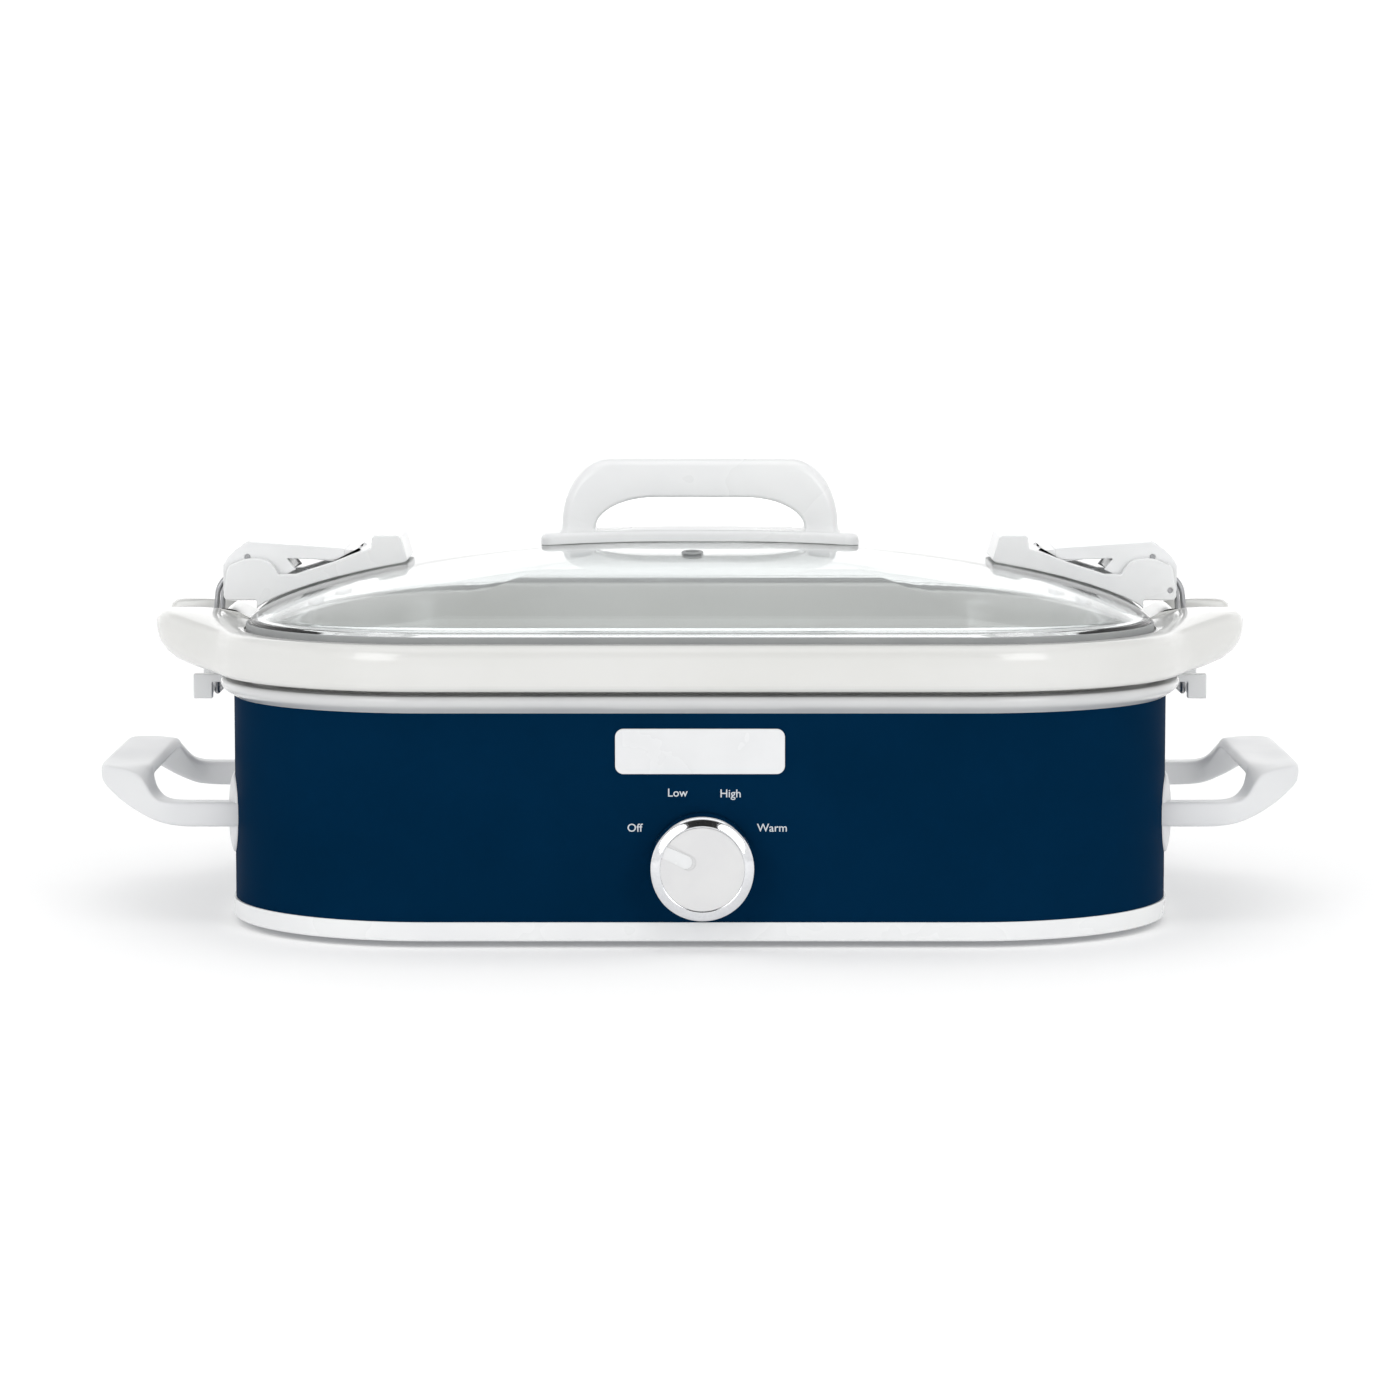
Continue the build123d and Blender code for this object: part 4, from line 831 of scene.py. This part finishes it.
def subdivided(obj):
    """A Subdivision Surface with the same levels in the view and in the render."""
    modifier = obj.modifiers.new("soft_skin", "SUBSURF")
    modifier.levels = modifier.render_levels = 2


print("sweep helpers ready")

# %% [markdown]
# ## Side handles
# Each handle is one moulding. Two flat arms leave the pad, lean towards each other and rise into a
# grip with a dished top, a thin inner lip and an open underside. Its section has six corners: two
# below, one under the lip, two above and one in the dish. Each station along the half handle says
# where the six are, and the other half mirrors it. Every long edge but the dish's then gets a
# bevel of its own width, which stays the same from the wall to the grip.

# %% Side handles
ARM = ((76, 39.4), (63, 39.4), (63, 44.5), (63, 49.5), (69.5, 49.5), (76, 49.5))
HALF_HANDLE = [tuple((x, y, z) for y, z in ARM) for x in (182, 184, 201)]
HALF_HANDLE += [  # outer low, inner low, under the lip, inner high, dish, outer high
    ((209, 76, 39.5), (208, 63, 39.4), (208, 63, 44.5),
     (208, 63, 49.5), (208.5, 69.5, 49.5), (209, 76, 49.5)),
    ((214.5, 75.7, 40.2), (213, 62.7, 39.7), (212.8, 62.7, 45),
     (212.8, 62.7, 49.7), (213.5, 69, 49.7), (214.2, 75.8, 49.6)),
    ((219.5, 74.4, 41.4), (218, 61.8, 40.4), (216.1, 61.5, 46),
     (216.3, 61.5, 50.5), (217.5, 68, 50.5), (218.7, 75, 50.4)),
    ((224.7, 71.9, 43.3), (223, 60, 42.9), (218.7, 59.6, 48.5),
     (219.1, 59.6, 53), (220.4, 66, 52.8), (221.8, 73, 52.5)),
    ((229.8, 68.9, 45.7), (227.8, 57.5, 45.7), (220.6, 57, 52),
     (221.1, 57, 56), (222.8, 63.5, 56.5), (224.4, 69.8, 56.7)),
    ((235.1, 65.6, 48.7), (232.3, 54.5, 49.1), (221.9, 54, 55),
     (222.5, 53.6, 59.5), (225.2, 59.5, 60.1), (227.8, 65, 60.5)),
    ((239.7, 61.4, 52.1), (235.8, 50.5, 52.7), (222.7, 50.5, 57),
     (223.1, 50.3, 61.6), (228.8, 55, 61.5), (234.7, 60, 61.7)),
    ((243.5, 57, 54.9), (237.6, 46.5, 55.3), (223, 46.5, 57.7),
     (223.4, 46.3, 62.4), (232, 50.8, 61.9), (241.7, 55.5, 62.2)),
    ((244.8, 51, 56.3), (238.1, 41, 56.1), (223, 41, 57.9),
     (223.4, 41, 62.7), (233, 45.5, 61.8), (244.7, 50.5, 62.5)),
    ((245, 40, 56.7), (238.1, 32, 56.3), (223, 34, 57.9),
     (223.4, 34, 62.7), (233.5, 36, 61.6), (245, 40, 62.7)),
    ((245, 15, 56.7), (238.1, 14, 56.3), (223, 14, 57.9),
     (223.4, 14, 62.7), (233.5, 14, 61.5), (245, 15, 62.7)),
]
EDGE_ROUNDS = {0: 1.8, 1: 1.4, 2: 0.7, 3: 1.9, 5: 1.7}


def lofted(bm, stations):
    """Extrudes a loop with one vertex per corner through the stations. Returns the corner rows."""
    count = len(stations[0])
    rows = [bmesh.ops.create_circle(bm, segments=count, radius=0.01)["verts"]]
    for vert, point in zip(rows[0], stations[0]):
        vert.co = point
    edges = once(edge for vert in rows[0] for edge in vert.link_edges)
    bmesh.ops.contextual_create(bm, geom=edges)
    for points in stations[1:]:
        edges, beside = grown(bm, edges)
        rows.append([beside[vert] for vert in rows[-1]])
        for vert, point in zip(rows[-1], points):
            vert.co = point
    bmesh.ops.contextual_create(bm, geom=edges)
    outward(bm)
    return rows


front_half = [[Vector((x, -y, z)) * MM for x, y, z in row] for row in HALF_HANDLE]
rear_half = [[Vector((p.x, -p.y, p.z)) for p in row] for row in reversed(front_half)]
handle_mesh = bmesh.new()
rows = lofted(handle_mesh, front_half + rear_half)
long_edges = {
    corner: [handle_mesh.edges.get((low[corner], high[corner])) for low, high in zip(rows, rows[1:])]
    for corner in EDGE_ROUNDS
}
for corner, width in EDGE_ROUNDS.items():
    left_over = [edge for edge in long_edges[corner] if edge.is_valid]
    eased(handle_mesh, left_over, width * MM, clamp_overlap=True)
# The handles wear the darker copy of the white plastic, which is painted shade.
for side, degrees in (("right", 0.0), ("left", 180.0)):
    mesh = handle_mesh.copy()
    turned(mesh, degrees, "Z")
    handle = new_object("grab_handle_" + side, mesh, finishes["handle_plastic_painted_shade"])
    subdivided(handle)
    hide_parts("side_handle_" + side)
    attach(handle, "base")
print("handle faces:", len(handle.data.polygons), "to x", round(max(v.co.x for v in handle_mesh.verts), 4))
handle_mesh.free()

# %% [markdown]
# ## Softened mouldings
# The brackets, levers, catches and the name plate have the right form already, with knife edges.
# A moulded edge is never that sharp. A copy of each mesh is merged and its flat faces are made
# whole again, and then every edge that is sharper than a crease gets a narrow bevel.

# %% Softened copies
def close_to(vert, x, z, reach=0.35):
    """Whether a point is at (x, z) in millimetres, in a front view of either half."""
    return math.hypot(abs(vert.co.x) / MM - x, vert.co.z / MM - z) < reach


def softened(node, body_name, name, width, segments=3, rounds=(), moves=()):
    """A copy of a construction piece with bevelled edges, which stands for it.

    rounds lists edges across the cooker that get a larger radius, and moves lists corners that go
    elsewhere first, all as front views in millimetres.
    """
    bm = bmesh.new()
    bm.from_mesh(nodes[node].data)
    merged(bm, 2e-6)
    bmesh.ops.dissolve_limit(bm, angle_limit=math.radians(1.0), verts=bm.verts[:], edges=bm.edges[:])
    for x, z, new_x, new_z in moves:
        for vert in [v for v in bm.verts if close_to(v, x, z)]:
            vert.co.x, vert.co.z = math.copysign(new_x * MM, vert.co.x), new_z * MM
    for x, z, radius in rounds:
        corner = [e for e in bm.edges if close_to(e.verts[0], x, z) and close_to(e.verts[1], x, z)]
        eased(bm, corner, radius * MM, 5)
    sharp = [e for e in bm.edges if e.is_manifold and e.calc_face_angle() > math.radians(CREASE)]
    eased(bm, sharp, width * MM, segments, clamp_overlap=False, miter_outer="ARC")
    obj = new_object(name, bm, nodes[node].data.materials[0])
    even = obj.modifiers.new("even_faces", "WEIGHTED_NORMAL")
    even.keep_sharp = True
    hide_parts(node)
    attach(obj, body_name)
    return obj


# The tab leans back and is a little narrower than its block, and the cheek's heel bulges.
TAB_MOVES = [(122.0, 142.88, 120.6, 143.3), (127.5, 152.8, 123.3, 152.4), (129.0, 154.0, 124.6, 153.6),
             (138.0, 154.0, 134.6, 153.6), (139.5, 152.5, 135.4, 152.4), (139.5, 148.0, 135.6, 148.2),
             (143.5, 147.0, 140.5, 147.0), (197.0, 140.0, 195.1, 139.4), (195.5, 141.4, 194.2, 141.3)]
for side in SIDES:
    bracket = softened("latch_bracket_" + side, "lid", "latch_base_" + side, 0.6,
                       rounds=[(197.0, 126.8, 2.6)], moves=TAB_MOVES)
    catch = softened("latch_catch_" + side, "base", "catch_frame_" + side, 0.5)
softened("name_plate", "base", "bare_name_plate", 0.35, segments=2)
print("bracket faces:", len(bracket.data.polygons), "catch faces:", len(catch.data.polygons))

# %% [markdown]
# ## Lid handle
# The handle is one moulding: an arch to hold, and a long foot that follows the dome and carries the
# screws. The arch is swept. Its outer edge is rounded far more than its inner one, and its legs
# flare where they meet the foot. The foot is a stack of small outlines that is cut across in many
# places, so that it can then be bent over the dome.

# %% Arch of the lid handle
ARCH_HALF = 12.0
OUTER_X, OUTER_RUN, OUTER_RISE = -37.2, 20.0, 27.0
INNER_X, INNER_RUN, INNER_RISE, INNER_Z = -18.4, 25.0, 13.0, 155.7
arch_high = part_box("lid_handle")[1].z / MM


def arch_station(angle, flare=0.0, drop=0.0):
    """Four corners across the left half of the arch: 0 degrees at the leg, 90 at the top."""
    across, up = math.cos(math.radians(angle)), math.sin(math.radians(angle))
    outer_z = arch_high - OUTER_RISE + OUTER_RISE * up - drop
    outer = Vector((OUTER_X - OUTER_RUN * across - flare, 0.0, outer_z))
    inner = Vector((INNER_X - INNER_RUN * across + flare, 0.0, INNER_Z + INNER_RISE * up))
    if drop:
        inner.z = outer.z
    depth = Vector((0.0, ARCH_HALF + flare, 0.0))
    return [point * MM for point in (inner - depth, inner + depth, outer + depth, outer - depth)]


def mirrored_in_length(corners):
    return [Vector((-p.x, p.y, p.z)) for p in corners]


legs = [arch_station(0, 0.9, 7.0), arch_station(0, 0.8, 3.2), arch_station(0, 0.3, 2.2)]
bow = [arch_station(7.5 * n) for n in range(0, 13)]
half_arch = legs + bow
whole_arch = half_arch + [mirrored_in_length(corners) for corners in reversed(half_arch)]
arch_mesh = swept(bmesh.new(), whole_arch, low=0.16, high=0.42, steps=4)
arch = new_object("lid_arch", arch_mesh, finishes["white_plastic"])
print("arch faces:", len(arch.data.polygons), "top", round(max(v.co.z for v in arch.data.vertices), 4))

# %% Foot of the lid handle
FOOT_LENGTH, FOOT_DEPTH, FOOT_CORNER, FOOT_HEIGHT, FOOT_ROUND = 132.0, 28.0, 7.0, 4.8, 2.2
FOOT_SEAT, DOME_HALF = 123.0, (0.1822, 0.1297)
foot_levels = [(0.25, 0.12), (0.0, 0.35), (0.0, FOOT_HEIGHT - FOOT_ROUND)]
foot_levels += [
    (FOOT_ROUND * (1 - math.cos(a)), FOOT_HEIGHT - FOOT_ROUND * (1 - math.sin(a)))
    for a in [math.radians(15 * n) for n in range(1, 7)]
]
foot_mesh = bmesh.new()
stacked(foot_mesh, [
    (FOOT_LENGTH - 2 * inset, FOOT_DEPTH - 2 * inset, FOOT_CORNER - inset, level)
    for inset, level in foot_levels
], capped=True, steps=10)
for x in range(-60, 61, 5):
    cut(foot_mesh, (x * MM, 0, 0), (1, 0, 0))
for y in (-9, -5, 0, 5, 9):
    cut(foot_mesh, (0, y * MM, 0), (0, 1, 0))
for vert in foot_mesh.verts:
    share = max(abs(vert.co.x) / DOME_HALF[0], abs(vert.co.y) / DOME_HALF[1])
    vert.co.z += (FOOT_SEAT + dome_rise(share)) * MM
foot = new_object("lid_foot", foot_mesh, finishes["white_plastic"])
for piece in (arch, foot):
    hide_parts("lid_handle")
    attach(piece, "lid")
print("foot faces:", len(foot.data.polygons), "foot top", round(max(v.co.z for v in foot.data.vertices), 4))

# %% [markdown]
# The lever's grip thins towards its free end, where a lip turns down between the rails of the
# bracket. The softened copy gets its slope by lowering the points of the top. The lip and the web
# at the hinge are small prisms that are extruded sideways and joined to it.

# %% Latch levers
def prism(bm, profile, half_width):
    """A prism across the cooker's depth, from a front view of (x, z) points in millimetres."""
    verts = [bm.verts.new((x * MM, -half_width * MM, z * MM)) for x, z in profile]
    far = points_of(bmesh.ops.extrude_face_region(bm, geom=[bm.faces.new(verts)]))
    bmesh.ops.translate(bm, vec=(0.0, 2 * half_width * MM, 0.0), verts=far)
    verts += far
    bmesh.ops.recalc_face_normals(bm, faces=once(f for v in verts for f in v.link_faces))
    return verts


LIP = [(158.6, 146.6), (150.0, 147.6), (142.8, 147.1), (141.9, 146.2), (142.1, 144.6), (150.0, 142.3),
       (158.6, 143.3)]
WEB = [(168.2, 139.4), (176.4, 134.8), (178.6, 139.0), (171.6, 144.6)]
SLOPE_END, SLOPE_RUN, SLOPE_DROP, GRIP_LOW, GRIP_THICK = 182.5, 38.0, 3.0, 147.2, 3.4
GRIP_MOVES = [(171.0, 144.8, 170.8, 143.7), (146.8, 144.8, 146.8, 143.0), (149.8, 144.8, 149.8, 143.1)]
for side, sign in SIDES.items():
    lever = softened("latch_lever_" + side, "lever_" + side, "latch_clip_" + side, 0.45,
                     moves=GRIP_MOVES)
    bm = bmesh.new()
    bm.from_mesh(lever.data)
    for vert in bm.verts:
        x, z = abs(vert.co.x) / MM, vert.co.z / MM
        if x < SLOPE_END and z > GRIP_LOW:
            vert.co.z -= SLOPE_DROP * (SLOPE_END - x) / SLOPE_RUN * (z - GRIP_LOW) / GRIP_THICK * MM
    lip = prism(bm, [(sign * x, z) for x, z in LIP], 16.2)
    lip += prism(bm, [(sign * x, z) for x, z in WEB], 14.6)
    edges = once(e for v in lip for e in v.link_edges if e.calc_length() > 1.5 * MM)
    eased(bm, edges, 0.3 * MM)
    bm.to_mesh(lever.data)
    bm.free()
    shaded(lever.data)
print("lever faces:", len(lever.data.polygons))

# %% [markdown]
# ## Latch wires
# Each wire is one piece of spring wire: two pivots in the lever, two legs that bow over the cheek
# and a foot under the catch. It starts as a curve, because a curve bends smoothly through a few
# points and has a round section for free, and then it is made a mesh.

# %% Wire bails
leg_y, pivot_y = 12.6, 16.3
WIRE = [(187.1, pivot_y, 144.3), (187.1, pivot_y - 1.4, 144.3), (187.1, leg_y, 144.3), (188.6, leg_y, 143.0),
        (194.6, leg_y, 137.2), (199.4, leg_y, 132.4), (200.3, leg_y, 125.6), (200.6, leg_y, 118.0),
        (200.6, leg_y, 106.0), (200.6, leg_y, 92.4), (200.6, leg_y, 88.0), (200.6, leg_y - 4.4, 88.0)]
WIRE += [(x, -y, z) for x, y, z in reversed(WIRE)]


def meshed(curve):
    """The mesh of a curve or of a line of text."""
    holder = bpy.data.objects.new(curve.name, curve)
    scene.collection.objects.link(holder)
    bpy.context.view_layer.update()
    shown = holder.evaluated_get(bpy.context.evaluated_depsgraph_get())
    mesh = bpy.data.meshes.new_from_object(shown)
    bpy.data.objects.remove(holder)
    return mesh


def wire_mesh(points, radius):
    """A round wire through a few points, as a mesh."""
    curve = bpy.data.curves.new("wire_line", "CURVE")
    curve.dimensions = "3D"
    curve.bevel_depth = radius * MM
    curve.bevel_resolution = 5
    curve.use_fill_caps = True
    spline = curve.splines.new("NURBS")
    spline.points.add(len(points) - 1)
    for point, (x, y, z) in zip(spline.points, points):
        point.co = (x * MM, y * MM, z * MM, 1.0)
    spline.order_u = 3
    spline.use_endpoint_u = True
    spline.resolution_u = 8
    return meshed(curve)


for side, sign in SIDES.items():
    bm = bmesh.new()
    bm.from_mesh(wire_mesh([(sign * x, y, z) for x, y, z in WIRE], 1.1))
    merged(bm)
    outward(bm)
    bail = new_object("latch_wire_" + side, bm, finishes["bright_wire"])
    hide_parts("wire_bail_" + side)
    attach(bail, "bail_" + side)
print("wire faces:", len(bail.data.polygons), "lowest", round(min(v.co.z for v in bail.data.vertices), 4))

# %% [markdown]
# ## Handle pads
# Each handle stands on a thin moulded plate that wraps round the end of the shell. It starts as
# a flat grid. The grid's rows are shortened towards the top and the bottom, which rounds the
# corners, then it is bent round the shell, and it swells outwards from its rim.

# %% Pads
def on_shell(s, out):
    """A plan point at a distance s along the shell from the middle of its end, and out from it."""
    straight = BODY_DEPTH / 2 - CORNER
    if abs(s) <= straight:
        return (BODY_LENGTH / 2 + out, s)
    turn = (abs(s) - straight) / CORNER
    reach = CORNER + out
    return (BODY_LENGTH / 2 - CORNER + reach * math.cos(turn),
            math.copysign(straight + reach * math.sin(turn), s))


PAD_HALF, PAD_THICK, PAD_CORNER, PAD_RIM, PAD_LIFT = 75.5, 2.5, 12.0, 13.0, 1.6
pad_low, pad_high = [corner.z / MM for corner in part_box("handle_pad_right")]
pad_low += PAD_LIFT
half, middle = (pad_high - pad_low) / 2, (pad_low + pad_high) / 2
# The pads wear the same darker copy of the white plastic as the handles: painted shade.
for side, sign in SIDES.items():
    bm = bmesh.new()
    bmesh.ops.create_grid(bm, x_segments=64, y_segments=26, size=1.0)
    for vert in bm.verts:
        a, b = math.sin(vert.co.x * math.pi / 2), math.sin(vert.co.y * math.pi / 2)
        rise = b * half
        short = max(0.0, abs(rise) - (half - PAD_CORNER))
        width = PAD_HALF - PAD_CORNER + math.sqrt(max(0.0, PAD_CORNER**2 - short**2))
        run = a * width
        rim = min(1.0, min(width - abs(run), half - abs(rise)) / PAD_RIM)
        out = PAD_THICK * math.sqrt(max(0.0, 1 - (1 - rim) ** 2))
        x, y = on_shell(run, out + 0.02)
        vert.co = (sign * x * MM, sign * y * MM, (middle + rise) * MM)
    outward(bm)
    if sum(f.normal.x * f.calc_area() for f in bm.faces) * sign < 0:
        bmesh.ops.reverse_faces(bm, faces=bm.faces[:])
    bmesh.ops.contextual_create(bm, geom=[e for e in bm.edges if e.is_boundary])
    pad = new_object("handle_plate_" + side, bm, finishes["handle_plastic_painted_shade"])
    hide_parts("handle_pad_" + side)
    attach(pad, "base")
print("pad faces:", len(pad.data.polygons))

# %% [markdown]
# ## Steam vent
# Steam leaves the pot through a small grommet in the glass, so that the lid doesn't rattle. It is
# turned about an axis that leans with the dome. Its lips are low and round, because a soft
# grommet is pushed through the hole from below.

# %% Vent grommet
VENT_LEAN, VENT_ACROSS = 6.0, 9.2
lean = math.radians(VENT_LEAN)
vent_low, vent_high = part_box("steam_vent")
vent_middle = (vent_low + vent_high) / 2
vent_half = ((vent_high.z - vent_low.z) / MM - VENT_ACROSS * math.sin(lean)) / math.cos(lean) / 2
lip = vent_half - 1.0
GROMMET = [(2.6, -lip - 0.2), (2.6, lip + 0.1), (2.75, lip + 0.4), (3.1, lip + 0.55), (3.9, lip + 0.5),
           (4.35, lip + 0.3), (4.5, lip), (3.6, lip), (3.6, -lip), (4.4, -lip), (4.3, -lip - 0.35),
           (3.9, -lip - 0.5), (2.9, -lip - 0.5)]
grommet_mesh = bmesh.new()
spun(grommet_mesh, [
    (vent_middle.x + r * MM, vent_middle.y, vent_middle.z + h * MM) for r, h in GROMMET + GROMMET[:1]
], 48, centre=vent_middle)
turned(grommet_mesh, VENT_LEAN, "X", vent_middle)
grommet = new_object("vent_grommet", grommet_mesh, finishes["gasket_silicone"])
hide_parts("steam_vent")
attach(grommet, "lid")
print("grommet faces:", len(grommet.data.polygons), "half height", round(vent_half, 2))

# %% [markdown]
# ## The knob
# The knob is a turned shape, so it is a profile spun once round the switch's axis: a straight
# skirt, a small round, a sloping chrome ring and the recess that holds the dial. The slope turns
# the ring's reflections upwards and outwards, away from the shell.

# %% Knob body
knob_low, knob_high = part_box("knob_body")
knob_x, knob_z = (knob_low.x + knob_high.x) / 2, (knob_low.z + knob_high.z) / 2
front = knob_low.y
KNOB = [(6.3, 12.6), (6.3, 4.2), (17.6, 4.2), (17.9, 4.6), (17.9, 16.9), (18.2, 17.2), (20.1, 17.2),
        (20.4, 16.9), (20.5, 16.4), (20.5, 2.7), (20.38, 2.05), (20.05, 1.5), (19.6, 1.12), (19.2, 0.92),
        (17.2, 0.1), (16.95, 0.0), (16.7, 0.0), (16.5, 0.1), (16.45, 0.3), (16.45, 1.42), (6.0, 1.42),
        (0.0, 1.42)]
knob_mesh = bmesh.new()
spun(knob_mesh, [(knob_x + r * MM, front + depth * MM, knob_z) for r, depth in KNOB], 96,
     axis=(0, 1, 0), centre=(knob_x, 0, knob_z))
knob = new_object("knob_chrome", knob_mesh, finishes["polished_chrome"])
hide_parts("knob_body")
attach(knob, "knob")
print("knob faces:", len(knob.data.polygons), "centre", round(knob_x / MM, 2), round(knob_z / MM, 2))

# %% [markdown]
# The dial is a satin disc with a slot, and in the slot lies a white finger that points at the
# printed words. The finger is a bar with one round end: a square whose corners are bevelled.

# %% Pointer
BAR_LENGTH, BAR_WIDTH, BAR_HEIGHT, BAR_MIDDLE = 12.0, 5.5, 0.45, 10.5
SLOT_DEPTH, POINTS_TO = 0.92, 156.5
pointer_mesh = bmesh.new()
bar = rectangle(pointer_mesh, BAR_LENGTH * MM, BAR_WIDTH * MM)
bmesh.ops.translate(pointer_mesh, vec=(BAR_MIDDLE * MM, 0.0, 0.0), verts=bar)
inner_end = [v for v in bar if v.co.x < BAR_MIDDLE * MM]
eased(pointer_mesh, inner_end, 2.7 * MM, 10, "VERTICES")
top = max(pointer_mesh.faces, key=lambda f: f.calc_area())
lifted = points_of(bmesh.ops.extrude_face_region(pointer_mesh, geom=[top]))
bmesh.ops.translate(pointer_mesh, vec=(0.0, 0.0, BAR_HEIGHT * MM), verts=lifted)
rim = once(e for v in lifted for e in v.link_edges if all(end in lifted for end in e.verts))
eased(pointer_mesh, rim, 0.18 * MM)
outward(pointer_mesh)
turned(pointer_mesh, POINTS_TO, "Z")
turned(pointer_mesh, 90.0, "X")
slot = (knob_x, front + SLOT_DEPTH * MM, knob_z)
bmesh.ops.translate(pointer_mesh, vec=slot, verts=pointer_mesh.verts[:])
pointer = new_object("dial_pointer", pointer_mesh, finishes["plate_enamel"])
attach(pointer, "knob")
print("pointer corners:", [[round(v / MM, 1) for v in pointer.bound_box[n]] for n in (0, 6)])

# %% [markdown]
# ## Printed words
# The four settings are printed on the paint round the knob. Each word is a text curve that is
# turned into a mesh, stood upright and laid a hair in front of the shell.

# %% Words
def printed(word, x, z, size=4.5):
    """A word on the front of the shell, its middle at (x, z) in millimetres."""
    curve = bpy.data.curves.new("print_" + word.lower(), "FONT")
    curve.body = word
    curve.size = size * MM
    curve.align_x = "CENTER"
    curve.align_y = "CENTER"
    curve.extrude = 0.02 * MM
    curve.offset = 0.03 * MM
    curve.resolution_u = 3
    mesh = meshed(curve)
    mesh.transform(Matrix.Rotation(math.radians(90.0), 4, "X"))
    mesh.transform(Matrix.Translation((x * MM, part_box("outer_shell")[0].y - 0.03 * MM, z * MM)))
    mesh.materials.clear()
    mesh.materials.append(finishes["print_ink"])
    text = bpy.data.objects.new("word_" + word.lower(), mesh)
    scene.collection.objects.link(text)
    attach(text, "base")
    return text


words = [printed("Off", -25.5, 47.2), printed("Low", -8.8, 61.0), printed("High", 11.9, 60.7),
         printed("Warm", 28.2, 47.2)]
print("words:", [(w.name, round(w.dimensions.x / MM, 1)) for w in words])
